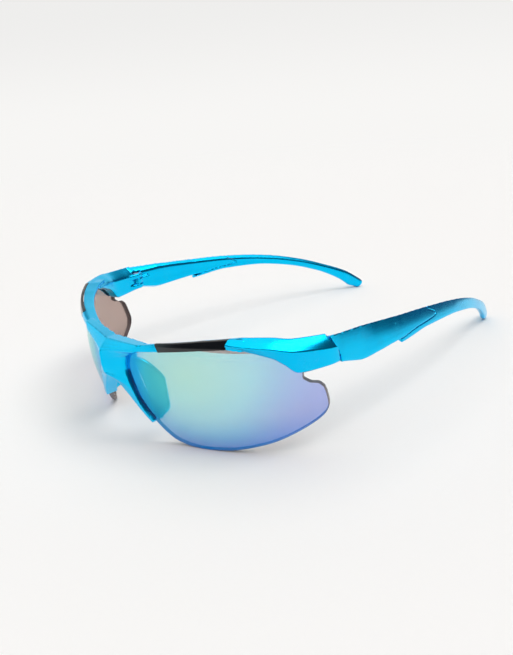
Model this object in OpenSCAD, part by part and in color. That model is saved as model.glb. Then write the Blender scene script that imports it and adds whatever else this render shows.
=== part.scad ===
// Wraparound half-rim sport sunglasses, standing open on the lens bottoms and the temple tips.
// Frame: +X is the wearer's left, the front faces -Y, +Z is up, and Z = 0 is the table.
// Each lens is a piece of a sphere. The front frame follows the same sphere, so the lens seats in it.

/* [Lenses] */
// Width of one lens from its nasal edge to its outer edge
lens_w = 59; // [48:0.5:71]
// Height of the visible part of a lens below the brow bar
lens_h = 41; // [34:0.5:50]
// Wall of a lens
lens_t = 1.7; // [1.2:0.1:2.6]
// Gap between the nasal edges of the two lenses
lens_gap = 16.6; // [13:0.2:22]
// Direction of the lens surface at its nasal edge, in degrees from straight across
wrap_in = 2; // [0:0.5:8]
// Direction of the lens surface at its outer edge, in degrees from straight across
wrap_out = 68; // [55:1:72]

/* [Brow and bridge] */
// How far the brow bar stands in front of the lens
brow_front = 2.2; // [1.9:0.1:3.2]
// How far the brow bar stands behind the lens
brow_back = 1.6; // [1.2:0.1:3]
// Height of the brow bar at the bridge end
brow_h = 2.5; // [2.3:0.1:5]
// Extra height of the brow bar at its outer end
brow_grow = 0.8; // [0:0.1:2]
// How far the brow bar's top falls towards its back
brow_roof = 1.4; // [0:0.1:1.6]
// Wall of the black inlay in the front of the brow bar
inlay_t = 1.1; // [0.8:0.1:1.4]
// How far the keel of the bridge stands in front of the lenses
keel = 6.4; // [4:0.2:8]
// How deep the bridge is from its front to its back
bridge_d = 5.4; // [4.5:0.1:7]
// How deep a lens edge runs into the frame
groove_d = 1; // [0.8:0.1:1.4]
// Play of a lens in its groove, each side
lens_play = 0.04; // [0.02:0.01:0.1]
// Width of a nose arm halfway down
arm_w = 5; // [3.5:0.1:7]
// Wall of a nose wing behind the arm
wing_t = 1.8; // [1.4:0.1:2.6]

/* [Hinges] */
// Width over both end pieces at the hinge seam, measured past the lens edge on each side
end_out = 0.4; // [0.2:0.1:3]
// Distance of the hinge axis behind the lens's outer edge
hinge_back = 7.3; // [5:0.1:9]
// Distance from the outer face to the hinge axis
hinge_in = 4.8; // [4:0.1:6]
// Radius of the hinge knuckles
knuckle_r = 2.8; // [2.3:0.1:3.4]
// Height of the middle knuckle, which belongs to the temple
knuckle_h = 2.4; // [2:0.1:4]
// Height of each lug on the front frame
lug_h = 2.1; // [1.9:0.1:3.6]
// Radius of the hinge screw's shank
screw_r = 0.7; // [0.5:0.05:1]
// Radial running clearance of the screw in its bores
screw_fit = 0.05; // [0.02:0.01:0.1]
// Gap between the knuckles, and between the end piece and the temple
seam_gap = 0.35; // [0.25:0.05:0.6]

/* [Temples] */
// Length of a temple from the hinge axis to its tip
temple_len = 133; // [105:1:150]
// How far the tip comes in towards the head
temple_in = 26; // [15:1:34]
// How late a temple turns in towards the head, as the power of its plan curve
temple_bow = 2.6; // [2:0.1:3.2]
// Thickness of a temple near the hinge
temple_t = 4.2; // [3.4:0.1:5.5]
// Thickness of a temple at its tip
tip_t = 3.4; // [2.6:0.1:4.5]
// How far the tip moulding stands below the temple arm at the step
tip_step = 1.7; // [0.8:0.1:2.5]
// Width of the peg that joins the tip to the temple arm
peg_t = 1.4; // [1:0.1:2]
// Length of that peg
peg_len = 14; // [8:1:20]

/* [Hidden] */

blue = [0.02, 0.56, 0.80];
black = [0.02, 0.02, 0.03];
mirror_green = [0.55, 0.80, 0.78];
steel = [0.70, 0.71, 0.73];
brass = [0.80, 0.66, 0.35];

// Sphere of the lens. Its radius follows from the lens width and the two wrap directions.
R = lens_w / (sin(wrap_out) - sin(wrap_in));
nasal_x = lens_gap / 2;
cx = nasal_x - R * sin(wrap_in);          // sphere centre, across
zb = lens_h;                              // height of the brow bar above the table
cz = zb - 14.3;                           // sphere centre, height
half_w = nasal_x + lens_w + end_out;      // half the width over the end pieces
function sx(u) = nasal_x + lens_w * u;    // across, from the nasal edge (0) to the outer edge (1)
function sz(v) = lens_h * v;              // height, from the table (0) to the brow (1)
// y on the sphere of radius R + off. All y below are measured from the sphere's centre.
function ys(x, z, off) = -sqrt(max(1, pow(R + off, 2) - pow(x - cx, 2) - pow(z - cz, 2)));

// Hinge axis
hinge_x = half_w - hinge_in;
hinge_y = -R * cos(wrap_out) + hinge_back;
hinge_z = zb - 5.5;                       // middle of the temple's knuckle
knuckle_gap = seam_gap / 2;
lug_z0 = hinge_z + knuckle_h / 2 + knuckle_gap;   // underside of the upper lug
lug_z1 = hinge_z - knuckle_h / 2 - knuckle_gap;   // top of the lower lug
head_r = screw_r + 0.6;
head_h = 0.8;
nut_r = screw_r + 0.75;
nut_h = 1.6;
tip_r = 2.6;                              // end radius of a tip
tip_y = hinge_y + temple_len;

// The part's origin: the middle of its box, on the table.
keel_y = ys(0, zb - 10, 0) - keel;
origin_y = (keel_y + tip_y) / 2;

// ---- small tools ----
function flat(l) = [for (a = l) for (b = a) b];
// value at x in a list of [x, value] pairs, smoothed between them
function ease(t) = t * t * (3 - 2 * t);
function pick(t, x, i = 0) =
    x <= t[0][0] ? t[0][1] :
    i >= len(t) - 1 ? t[len(t) - 1][1] :
    x <= t[i + 1][0] ? t[i][1] + (t[i + 1][1] - t[i][1]) * (x - t[i][0]) / (t[i + 1][0] - t[i][0]) :
    pick(t, x, i + 1);
// point on a smooth curve through the points p, t from 0 to len(p) - 1
function tangent(p, i) = i <= 0 ? p[1] - p[0] : i >= len(p) - 1 ? p[i] - p[i - 1] : (p[i + 1] - p[i - 1]) / 2;
function along(p, t) =
    let (i = min(len(p) - 2, floor(t)), s = t - i, a = p[i], b = p[i + 1],
         m = tangent(p, i), n = tangent(p, i + 1))
    a * (2 * s * s * s - 3 * s * s + 1) + m * (s * s * s - 2 * s * s + s)
    + b * (3 * s * s - 2 * s * s * s) + n * (s * s * s - s * s);
function smooth(p, k) = [for (i = [0 : k * (len(p) - 1)]) along(p, i / k)];
function middle(r, i = 0) = i == len(r) - 1 ? r[i] / len(r) : r[i] / len(r) + middle(r, i + 1);
function turn(r, c, i = 0) =
    i == len(r) ? [0, 0, 0] : cross(r[i] - c, r[(i + 1) % len(r)] - c) + turn(r, c, i + 1);
// skin over rings of points, closed at both ends
module skin(given) {
    c0 = middle(given[0]);
    turned = turn(given[0], c0) * (middle(given[1]) - c0) < 0;
    rings = turned ? [for (r = given) [for (j = [len(r) - 1 : -1 : 0]) r[j]]] : given;
    n = len(rings[0]);
    m = len(rings);
    pts = concat(flat(rings), [middle(rings[0]), middle(rings[m - 1])]);
    faces = concat(
        [for (j = [0 : n - 1]) [n * m, j, (j + 1) % n]],
        [for (i = [0 : m - 2]) for (j = [0 : n - 1]) let (k = (j + 1) % n)
            each [[i * n + j, (i + 1) * n + j, (i + 1) * n + k], [i * n + j, (i + 1) * n + k, i * n + k]]],
        [for (j = [0 : n - 1]) [n * m + 1, (m - 1) * n + (j + 1) % n, (m - 1) * n + j]]);
    polyhedron(pts, faces, convexity = 6);
}
// a front-view outline (x, z) pushed through in y, between y0 and y1 from the sphere's centre
module through(outline, y0, y1) {
    translate([0, y1, 0]) rotate([90, 0, 0]) linear_extrude(y1 - y0) polygon(outline);
}
// a shell between two radii of the lens sphere
module shell(r0, r1) {
    translate([cx, 0, cz]) difference() {
        sphere(r1, $fn = 96);
        sphere(r0, $fn = 96);
    }
}
module both() {
    children();
    mirror([1, 0, 0]) children();
}
// everything above is built with y from the sphere's centre; this moves it to the part's origin
module place() {
    translate([0, -origin_y, 0]) children();
}

// ---- lens ----
// edge of the lens beside the nose, from the brow down: [offset from the nasal edge, height share]
nose_edge = [[1.9, 0.855], [0.6, 0.80], [0.6, 0.73], [1.6, 0.63], [3.1, 0.53], [4.7, 0.43], [6.9, 0.335],
             [9.9, 0.24]];
// lower edge of the brow bar: [share of the width, height from the brow level]
brow_low = [[0.08, -5.0], [0.15, -3.1], [0.33, -1.2], [0.44, -0.3], [0.56, 0.6], [0.68, 1.1], [0.77, -0.1],
            [0.85, -2.3], [0.92, -5.7]];
function low_z(u) = zb + pick(brow_low, u);
function top_z(u) =
    low_z(min(u, 0.68)) + brow_h + brow_grow * (min(u, 0.68) - 0.15) / 0.53 - 7 * max(0, u - 0.69);
lip = 0.8;                                // how far a nose arm covers the lens's edge
lens_edge = concat(
    smooth([for (p = nose_edge) [nasal_x + p[0] - lip, sz(p[1])]], 2),
    smooth([[sx(0.205), sz(0.135)], [sx(0.255), sz(0.055)], [sx(0.335), sz(0.008)]], 3),
    [[sx(0.40), 0], [sx(0.48), 0]],
    smooth([[sx(0.59), sz(0.013)], [sx(0.69), sz(0.052)], [sx(0.80), sz(0.115)], [sx(0.90), sz(0.215)],
            [sx(0.965), sz(0.31)], [sx(0.992), sz(0.39)], [sx(1), sz(0.47)], [sx(1), sz(0.56)]], 3),
    smooth([[sx(0.996), zb - 15.8], [sx(0.983), zb - 14], [sx(0.964), zb - 13.3], [sx(0.943), zb - 11.4]], 2),
    [[sx(0.94), zb - 7]],
    [for (u = [0.925, 0.87, 0.78]) [sx(u), low_z(u) + (u > 0.9 ? groove_d + 0.6 : groove_d + 1)]],
    [for (u = [0.68 : -0.12 : 0.07]) [sx(u), low_z(u) + groove_d]]);
// the edge is cut along the lens's middle direction, so it stays square to the surface all round
wrap_mid = (wrap_in + wrap_out) / 2;
function slant(p) = [(p[0] - cx) * cos(wrap_mid) + ys(p[0], p[1], 0) * sin(wrap_mid), p[1]];
module lens_blank(out0, out1, grow = 0) {
    intersection() {
        shell(R - lens_t - out0, R + out1);
        translate([cx, 0, 0]) rotate([0, 0, wrap_mid])
            through([for (p = lens_edge) slant(grow > 0 ? grown(p, grow) : p)], -R - 6, -R / 2);
    }
}
// moves an edge point away from the middle of the lens
function grown(p, g) = let (d = p - [sx(0.5), sz(0.5)]) p + d / norm(d) * g;

// ---- front frame ----
// bridge and nose arm: level sections from the bridge's top down to the arm's tip. Each row is
// [height of the inner edge, offset of the inner edge from the nasal edge (or -99 on the mid-plane),
//  how far the inner front edge stands in front of the lens surface, height of the outer edge,
//  offset of the outer edge, how far the outer front edge stands in front of the lens]
arch_z = sz(0.66);
nose_rows = [for (i = [len(nose_edge) - 1 : -1 : 0]) [nose_edge[i][1], nose_edge[i][0]]];
function nose_x(z) = nasal_x + pick(nose_rows, z / lens_h);
step_top = sx(0.186);
step_low = sx(0.151);
mid = -0.01;
arm_rows = [
    [zb - 1.5, mid, keel - 3.0, zb - 0.2, step_top, brow_front + 0.7],
    [zb - 4.8, mid, keel - 0.3, zb - 3.1, step_low, brow_front + 0.7],
    [zb - 5.5, mid, keel, zb - 4.5, sx(0.1), 1.8],
    [zb - 8.0, mid, keel - 0.1, zb - 6.6, nose_x(zb - 6.6) + 0.5, 1.4],
    [zb - 11, mid, keel - 0.4, zb - 11, nose_x(zb - 11), 1.25],
    [arch_z, mid, keel - 0.9, zb - 15, nose_x(zb - 15), 1.25],
    [arch_z - 0.8, 0.9, keel - 1.2, sz(0.57), nose_x(sz(0.57)), 1.25],
    [sz(0.565), nasal_x - 4.4, 2.6, sz(0.50), nose_x(sz(0.50)), 1.25],
    [sz(0.45), nasal_x + 0.1, 1.5, sz(0.42), nose_x(sz(0.42)), 1.25],
    [sz(0.325), nasal_x + 4.4, 1.25, sz(0.33), nose_x(sz(0.33)), 1.25],
    [sz(0.21), nasal_x + 8.4, 1.2, sz(0.245), nose_x(sz(0.245)), 1.2]];
module bridge_half() {
    n = len(arm_rows);
    rings = [for (i = [0 : n - 1])
        let (r = arm_rows[i], deep = bridge_d - (i < 2 ? 0.9 : i > 8 ? 0.6 : 0),
             xi = r[1] == mid ? mid : r[1] - (i > 6 && i < n - 1 ? (arm_w - 5) : 0),
             a = ys(xi, r[0], 0) - r[2], b = ys(r[4], r[3], 0) - r[5])
        [[xi, a, r[0]], [r[4], b, r[3]], [r[4], b + (i < 2 ? 3.6 : deep), r[3]],
         [xi, a + deep, r[0] - (i == 0 ? 0.1 : 0)]]];
    skin(rings);
}
// bar along the top of a lens, its roof falling towards the back
module brow_bar() {
    f = brow_front;
    b = -lens_t - brow_back;
    rings = [for (i = [0 : 16])
        let (u = 0.11 + 0.04 * i, x = sx(u), zl = low_z(u), zt = top_z(u), zr = zt - brow_roof)
        [[x, ys(x, zl, f), zl], [x, ys(x, zt, f), zt], [x, ys(x, zt, f - 1.4), zt],
         [x, ys(x, zr, b), zr], [x, ys(x, zl, b), zl]]];
    skin(rings);
}
// the inlay's own shape; play opens the seat, out lifts its face
inlay_ends = [0.31, 0.685];
module inlay_blank(play, out) {
    u0 = inlay_ends[0];
    u1 = inlay_ends[1];
    us = [for (i = [0 : 6]) u0 + (u1 - u0) * i / 6];
    o = out > 0 ? 3 : 0;
    a = [sx(u0 - 0.016) - play, top_z(u0)];
    b = [sx(u0) + 0.9 - play, low_z(u0)];
    e = (a - b) / (a[1] - b[1]) * o;
    outline = concat([a + e, b - e],
                     [for (i = [1 : 6]) [sx(us[i]) + (i == 6 ? play : 0), low_z(us[i]) - o]],
                     [for (i = [6 : -1 : 1]) [sx(us[i]) + (i == 6 ? play : 0), top_z(us[i]) + o]]);
    intersection() {
        shell(R + brow_front - inlay_t - play, R + brow_front + out);
        through(outline, -R - 6, -4);
    }
}
// nose wing: a thin plate that runs back from the arm to bear on the nose
module wing() {
    rows = [[[1.3, 0.80, 2.2], [9.3, 0.235, 4.4]],
            [[4.6, 0.76, 5.2], [9.7, 0.25, 6.6]],
            [[7.6, 0.64, 8.6], [9.4, 0.27, 9.0]],
            [[8.6, 0.575, 9.8], [9.3, 0.30, 9.9]]];
    y0 = ys(nasal_x + 2, zb - 10, 0);
    rings = [for (r = rows)
        let (a = [nasal_x + r[0][0], y0 + r[0][2], sz(r[0][1])],
             b = [nasal_x + r[1][0], y0 + r[1][2], sz(r[1][1])],
             h = [wing_t * 0.78, -wing_t * 0.62, 0])
        [a, b, b - h, a - h]];
    skin(rings);
}
// end piece: a raised, faceted body from the inlay's end to the hinge
end_path = [0.66, 0.77, 0.86, 0.93];
end_low = [[0, 2.0], [0.6, 0.7], [1, -0.2], [2, -3.2], [2.6, -6.2], [3.05, -9.4], [3.4, -9.8], [5, -9.6]];
end_mid = [[0, 2.8], [1, 2.1], [2, 1.0], [3, -0.9], [4, -2.9], [5, -3.9]];
end_top = [[0, 3.4], [0.35, 4.4], [1, 4.5], [2, 3.9], [3, 2.7], [4, 1.6], [5, 1.4]];
end_out_d = [[0, 0.2], [0.35, 0.8], [1, 1.5], [2, 2.0], [3, 1.6], [4, 0.8], [5, 0]];
end_deep = 6.4;
function end_point(i) = i > 4 ? [half_w, hinge_y + 1.5] :
    i == 4 ? [half_w - 0.7, hinge_y - 4.6] :
    let (x = sx(end_path[i])) [x, -sqrt(max(1, pow(R + 0.3, 2) - pow(x - cx, 2)))];
module end_body() {
    p = [for (i = [0 : 5]) end_point(i)];
    rings = [for (k = [0 : 20])
        let (t = k / 4, a = along(p, t), b = along(p, min(5, t + 0.02)), c = along(p, max(0, t - 0.02)),
             d = (b - c) / norm(b - c), n = [d[1], -d[0]], o = pick(end_out_d, t),
             zl = zb + pick(end_low, t), zm = zb + pick(end_mid, t), zt = zb + pick(end_top, t),
             w = end_deep * min(1, 0.35 + t * 0.9),
             q = [[-0.5 + o * 0.2, zl], [o, zm], [o * 0.5, zm + (zt - zm) * 0.62], [-w * 0.4, zt],
                  [-w * 0.75, zt - w * 0.3], [-w, zt - w * 0.5], [-w, zl + 0.6], [-w + 0.6, zl]])
        [for (e = q) [a[0] + n[0] * e[0], a[1] + n[1] * e[0], e[1]]]];
    skin(rings);
}
// the seam between end piece and temple, seen from the side: [y from the hinge axis, z from the knuckle]
seam = [[-4.6, 9.9], [-3.5, 5.9], [-2.3, 3.5], [-0.9, 1.1], [0.1, -1.9], [0.4, -4.3], [0.2, -8.1]];
module behind_seam(gap) {
    translate([0, hinge_y, hinge_z]) rotate([90, 0, 90])
        linear_extrude(half_w + 20)
            polygon(concat([for (s = seam) [s[0] + gap, s[1]]],
                           [[6, -8.1], [6, -30], [90, -30], [90, 30], [6, 30], [6, 9.9]]));
}
module at_hinge(z) {
    translate([hinge_x, hinge_y, z]) children();
}
module lugs() {
    for (z = [lug_z0, lug_z1 - lug_h]) {
        at_hinge(z) cylinder(r = knuckle_r, h = lug_h, $fn = 48);
        at_hinge(z) translate([-knuckle_r, -6.5, 0]) cube([knuckle_r + 1.6, 6.5, lug_h]);
    }
}
module front_half() {
    difference() {
        union() {
            bridge_half();
            brow_bar();
            difference() {
                end_body();
                behind_seam(0);
                // room for the temple's knuckle to turn
                at_hinge(hinge_z - knuckle_h / 2 - knuckle_gap)
                    cylinder(r = knuckle_r + seam_gap, h = knuckle_h + 2 * knuckle_gap, $fn = 48);
            }
            lugs();
            wing();
        }
        lens_blank(lens_play, lens_play, 0.12);
        inlay_blank(0.02, 1);
        at_hinge(lug_z1 - lug_h - 1) cylinder(r = screw_r + screw_fit, h = 3 * lug_h + knuckle_h, $fn = 32);
        at_hinge(lug_z0 + lug_h - head_h) cylinder(r = head_r + 0.1, h = 4, $fn = 32);
        at_hinge(lug_z1 - lug_h - 4) cylinder(r = nut_r, h = nut_h + 4, $fn = 32);
    }
}

// ---- temple ----
// centre line seen from the side: [share of the length behind the hinge, height with the brow at 41]
side_path = [[-0.05, 35.6], [0.09, 33.7], [0.25, 32.3], [0.40, 30.3], [0.56, 27.0], [0.71, 21.7],
             [0.83, 15.3], [0.915, 9.4]];
side_line = concat([for (p = side_path) [hinge_y + temple_len * p[0], p[1] * zb / 41]],
                   [[hinge_y + temple_len * 0.96, tip_r + 2.3], [tip_y - tip_r, tip_r]]);
last = len(side_line) - 1;
// height above and below the centre line, at each of its points
upper_h = [[0, 6.9], [0.35, 6.5], [0.85, 6.5], [1, 6.5], [2, 4.9], [3, 4.1], [4, 3.1], [5, 2.4],
           [6, 2.2], [7, 2.5], [8, 2.5], [9, 2.4]];
lower_h = [[0, 3.8], [0.5, 3.8], [0.98, 5.6], [1.1, 5.6], [2, 3.9], [3, 3.1], [4, 2.2], [5, 2.0],
           [6, 2.1], [7, 3.0], [8, 3.6], [9, tip_r]];
// how much less the inner face reaches down than the outer one
inner_cut = [[0, 0.22], [4, 0.20], [6, 0.08], [9, 0]];
step_t = 2.03;                            // where the tip's lower edge begins, along the centre line
// outer face seen from above
function out_x(y) = half_w - temple_in * pow(max(0, y - hinge_y) / temple_len, temple_bow);
function wall(y) = temple_t + (tip_t - temple_t) * max(0, y - hinge_y) / temple_len;
// section of a temple, [across, up]: a flat inner wall and an outer face that leans in towards its top;
// towards the tip it turns into a rounded bar
round_share = [[4, 0], [6, 0.6], [9, 1]];
// bevel along a temple's inner top edge; it is widest over the hinge, which keeps a wall round the lugs
crown_at = [[0, 2.9], [0.4, 2.5], [1.3, 1.7]];
lean = [6, 20, 34, 48, 60, 70, 80];
bar = [-75, -55, -35, -10, 15, 40, 65, 85, 105, 135, 180, 225, 255];
function power(v, p) = sign(v) * pow(abs(v), p);
function section(w, hu, hl, cut, crown, r) =
    let (low = -hl * (1 - cut),
         fin = concat([[w / 2 - 0.6, -hl]],
                      [for (a = lean) [-w / 2 + crown + (w - crown) * (1 - pow(sin(a), 1.5)),
                                       -hl + (hu + hl) * sin(a)]],
                      [[-w / 2 + crown, hu], [-w / 2, hu - crown], [-w / 2, 0], [-w / 2, low + 0.5],
                       [-w / 2 + 0.5, low]]))
    [for (i = [0 : 12]) fin[i] * (1 - r)
        + [power(cos(bar[i]), 0.7) * w / 2,
           power(sin(bar[i]), 0.8) * (bar[i] < 0 || bar[i] > 180 ? hl : hu)] * r];
function ring(t, drop, shrink = 0) =
    let (c = along(side_line, t),
         a = along(side_line, max(0, t - 0.02)), b = along(side_line, min(last, t + 0.02)),
         d = (b - a) / norm(b - a), hu = pick(upper_h, t), hl = pick(lower_h, t),
         s = sqrt(1 - shrink * shrink),
         cc = c + d * hl * shrink * 0.98, w = wall(c[1]))
    [for (q = section(w, hu, hl + drop, pick(inner_cut, t), pick(crown_at, t), pick(round_share, t)))
        let (u = q[0] * s, v = q[1] * s, y = cc[0] - d[1] * v, z = cc[1] + d[0] * v)
        [out_x(y) - w / 2 + u, y, z]];
// scarf between the temple arm and the tip, in the same side view: [along the centre line, height above it]
scarf = [[step_t, -9], [step_t, -3.9], [2.5, -1.9], [3.25, 0.3], [3.03, 3.2], [2.95, 9]];
scarf_line = [for (s = scarf) along(side_line, s[0]) + [0, s[1]]];
module side_view(poly) {
    rotate([90, 0, 90]) linear_extrude(half_w + 20) polygon(poly);
}
module peg(play) {
    c = along(side_line, 3.0) + [0, 1.1];
    e = along(side_line, 3.4) - along(side_line, 3.0);
    bend = atan(temple_bow * temple_in * pow((c[0] - hinge_y) / temple_len, temple_bow - 1) / temple_len);
    translate([out_x(c[0]) - wall(c[0]) + 1.6, c[0], c[1]])
        rotate([0, 0, bend]) rotate([atan(e[1] / e[0]), 0, 0])
        translate([-peg_t / 2 - play, -5, -1.1 - play])
            cube([peg_t + 2 * play, 5 + peg_len + play, 2.2 + 2 * play]);
}
module temple_arm() {
    far = concat([[hinge_y - 20, hinge_z - 30]], scarf_line, [[hinge_y - 20, hinge_z + 20]]);
    difference() {
        union() {
            intersection() {
                skin([for (k = [0 : 18]) ring(k / 5, 0)]);
                side_view(far);
                behind_seam(seam_gap);
            }
            // middle knuckle and its neck
            at_hinge(hinge_z - knuckle_h / 2) cylinder(r = knuckle_r, h = knuckle_h, $fn = 48);
            at_hinge(hinge_z - knuckle_h / 2) translate([-1.6, 0, 0]) cube([hinge_in - 0.8, 6.5, knuckle_h]);
            peg(0);
        }
        // room for the lugs of the front frame, and a way in to the screw's head
        for (a = [[lug_z0 - knuckle_gap, lug_h + seam_gap], [lug_z1 - lug_h - 9 + knuckle_gap, lug_h + 9]])
            at_hinge(a[0]) {
                cylinder(r = knuckle_r + seam_gap, h = a[1], $fn = 48);
                translate([-8, -8, 0]) cube([8 + 1.6 + seam_gap, 8, a[1]]);
            }
        at_hinge(lug_z0) cylinder(r = head_r + 0.3, h = 12, $fn = 32);
        at_hinge(hinge_z - knuckle_h) cylinder(r = screw_r + screw_fit, h = knuckle_h * 2, $fn = 32);
    }
}
module temple_tip() {
    tipside = concat([[scarf_line[0][0], -9]], scarf_line, [[tip_y + 9, hinge_z + 20], [tip_y + 9, -9]]);
    difference() {
        intersection() {
            skin(concat([for (k = [-1 : 34])
                             let (t = 2 + k / 5) ring(t, tip_step * (1 - ease(min(1, max(0, t - 2)))))],
                        [for (a = [0, 25, 45, 62, 76]) ring(last, 0, sin(a))]));
            side_view(tipside);
        }
        peg(0.03);
    }
}
module screw() {
    at_hinge(lug_z0 + lug_h - head_h) cylinder(r = head_r, h = head_h, $fn = 32);
    at_hinge(lug_z1 - lug_h + 0.2) cylinder(r = screw_r, h = lug_z0 - lug_z1 + 2 * lug_h - head_h, $fn = 32);
}
module nut() {
    at_hinge(lug_z1 - lug_h) difference() {
        cylinder(r = nut_r, h = nut_h, $fn = 32);
        translate([0, 0, -1]) cylinder(r = screw_r + 0.02, h = nut_h + 2, $fn = 32);
    }
}

// ---- pieces ----
module front_frame() color(blue) place() both() front_half();
module left_lens() color(mirror_green) place() lens_blank(0, 0);
module right_lens() color(mirror_green) mirror([1, 0, 0]) place() lens_blank(0, 0);
module left_brow_inlay() color(black) place() inlay_blank(0, 0);
module right_brow_inlay() color(black) mirror([1, 0, 0]) place() inlay_blank(0, 0);
module left_temple() color(blue) place() temple_arm();
module right_temple() color(blue) mirror([1, 0, 0]) place() temple_arm();
module left_tip() color(blue) place() temple_tip();
module right_tip() color(blue) mirror([1, 0, 0]) place() temple_tip();
module left_hinge_screw() color(steel) place() screw();
module right_hinge_screw() color(steel) mirror([1, 0, 0]) place() screw();
module left_hinge_nut() color(brass) place() nut();
module right_hinge_nut() color(brass) mirror([1, 0, 0]) place() nut();

front_frame();
left_lens();
right_lens();
left_brow_inlay();
right_brow_inlay();
left_temple();
right_temple();
left_tip();
right_tip();
left_hinge_screw();
right_hinge_screw();
left_hinge_nut();
right_hinge_nut();
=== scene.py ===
"""Wraparound half-rim sport sunglasses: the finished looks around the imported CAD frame.

All shapes are worked out in millimetres, with y measured from the middle of the lens sphere, as the CAD
source does, and go into the meshes in metres at the part's own origin.
"""
import logging
import math
from dataclasses import dataclass
from enum import Enum
from typing import Sequence, Union

import bpy
import numpy as np
from mathutils import Matrix


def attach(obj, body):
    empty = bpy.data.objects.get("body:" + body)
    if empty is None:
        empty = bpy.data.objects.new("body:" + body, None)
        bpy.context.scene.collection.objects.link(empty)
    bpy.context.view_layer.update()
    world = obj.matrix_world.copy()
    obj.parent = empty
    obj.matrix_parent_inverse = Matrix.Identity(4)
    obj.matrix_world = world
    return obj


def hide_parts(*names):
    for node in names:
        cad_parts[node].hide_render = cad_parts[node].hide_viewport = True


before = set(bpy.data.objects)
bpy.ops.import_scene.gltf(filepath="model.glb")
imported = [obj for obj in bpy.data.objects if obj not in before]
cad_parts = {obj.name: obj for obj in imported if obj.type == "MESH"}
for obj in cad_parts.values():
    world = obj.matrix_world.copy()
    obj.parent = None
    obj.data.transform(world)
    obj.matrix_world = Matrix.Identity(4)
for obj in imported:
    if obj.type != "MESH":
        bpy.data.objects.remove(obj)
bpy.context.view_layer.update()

LOG = logging.getLogger("sunglasses")
Array = np.ndarray
Number = Union[float, "Value"]
Colour = tuple[float, float, float]
Pair = tuple[float, float]
Table = Sequence[Sequence[float]]
Socket = bpy.types.NodeSocket
Material = bpy.types.Material


# ---------------------------------------------------------------- sizes


@dataclass(frozen=True)
class Sizes:
    """Driving sizes of the part in millimetres and degrees, with the CAD source's names where it has them."""

    lens_w: float = 59.0
    lens_h: float = 41.0
    lens_t: float = 1.7
    lens_gap: float = 16.6
    wrap_in: float = 2.0
    wrap_out: float = 68.0
    brow_front: float = 2.2
    brow_back: float = 1.6
    brow_h: float = 2.5
    brow_grow: float = 0.8
    brow_roof: float = 1.4
    inlay_t: float = 1.1
    centre_drop: float = 14.3
    keel: float = 6.4
    keel_drop: float = 10.0
    bridge_d: float = 5.4
    groove_d: float = 1.0
    wing_t: float = 1.8
    end_out: float = 0.4
    hinge_back: float = 7.3
    hinge_in: float = 4.8
    hinge_drop: float = 5.5
    hinge_root: float = 1.6
    neck_wall: float = 2.4
    knuckle_r: float = 2.8
    knuckle_h: float = 2.4
    lug_h: float = 2.1
    screw_r: float = 0.7
    bore_play: float = 0.05
    head_r: float = 1.3
    head_h: float = 0.8
    head_room: float = 0.7
    nut_h: float = 1.6
    nut_wall: float = 0.72
    nut_room: float = 0.77
    seam_gap: float = 0.35
    temple_len: float = 133.0
    temple_in: float = 26.0
    temple_bow: float = 2.6
    temple_t: float = 4.2
    tip_t: float = 3.4
    tip_step: float = 1.7
    tip_r: float = 2.6
    end_deep: float = 6.4

    @property
    def radius(self) -> float:
        """Radius of the lens sphere."""
        return self.lens_w / (math.sin(math.radians(self.wrap_out)) - math.sin(math.radians(self.wrap_in)))

    @property
    def nasal_x(self) -> float:
        """Where a lens begins beside the nose."""
        return self.lens_gap / 2

    @property
    def cx(self) -> float:
        """Sphere centre, across."""
        return self.nasal_x - self.radius * math.sin(math.radians(self.wrap_in))

    @property
    def cz(self) -> float:
        """Sphere centre, height."""
        return self.lens_h - self.centre_drop

    @property
    def half_w(self) -> float:
        """Half the width over the end pieces."""
        return self.nasal_x + self.lens_w + self.end_out

    @property
    def hinge(self) -> Array:
        """Middle of the temple's knuckle on the hinge axis."""
        return np.array([self.half_w - self.hinge_in,
                         self.hinge_back - self.radius * math.cos(math.radians(self.wrap_out)),
                         self.lens_h - self.hinge_drop])

    @property
    def lug_top(self) -> float:
        """Top face of the upper hinge lug."""
        return self.hinge[2] + self.knuckle_h / 2 + self.seam_gap / 2 + self.lug_h

    @property
    def lug_low(self) -> float:
        """Bottom face of the lower hinge lug."""
        return self.hinge[2] - self.knuckle_h / 2 - self.seam_gap / 2 - self.lug_h

    @property
    def tip_y(self) -> float:
        """Where a temple ends."""
        return float(self.hinge[1]) + self.temple_len

    @property
    def origin_y(self) -> float:
        """The part's origin, measured from the sphere's centre."""
        return (float(self.on_sphere(0.0, self.lens_h - self.keel_drop, 0.0)) - self.keel + self.tip_y) / 2

    def sx(self, u: Array) -> Array:
        """Across, from the nasal edge (0) to the outer edge (1)."""
        return self.nasal_x + self.lens_w * np.asarray(u, float)

    def on_sphere(self, x: Array, z: Array, off: Array) -> Array:
        """y on the front of the sphere of radius R + off, by Pythagoras."""
        r = self.radius + np.asarray(off, float)
        return -np.sqrt(np.maximum(1.0, r**2 - (np.asarray(x) - self.cx)**2 - (np.asarray(z) - self.cz)**2))


SIZE = Sizes()
# how far cutting shapes run past what they cut
CLEAR = 20


# ---------------------------------------------------------------- curves and grids


def pick(table: Table, x: Array) -> Array:
    """Straight-line reading of a table of [x, value] rows.

    Args:
        table: rows of x and one or more values.
        x: where to read, of any shape.
    Returns:
        The values, with x's shape and, for several values, one more axis.
    """
    rows = np.asarray(table, float)
    read = [np.interp(x, rows[:, 0], rows[:, k]) for k in range(1, rows.shape[1])]
    return read[0] if len(read) == 1 else np.stack(read, -1)


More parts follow.
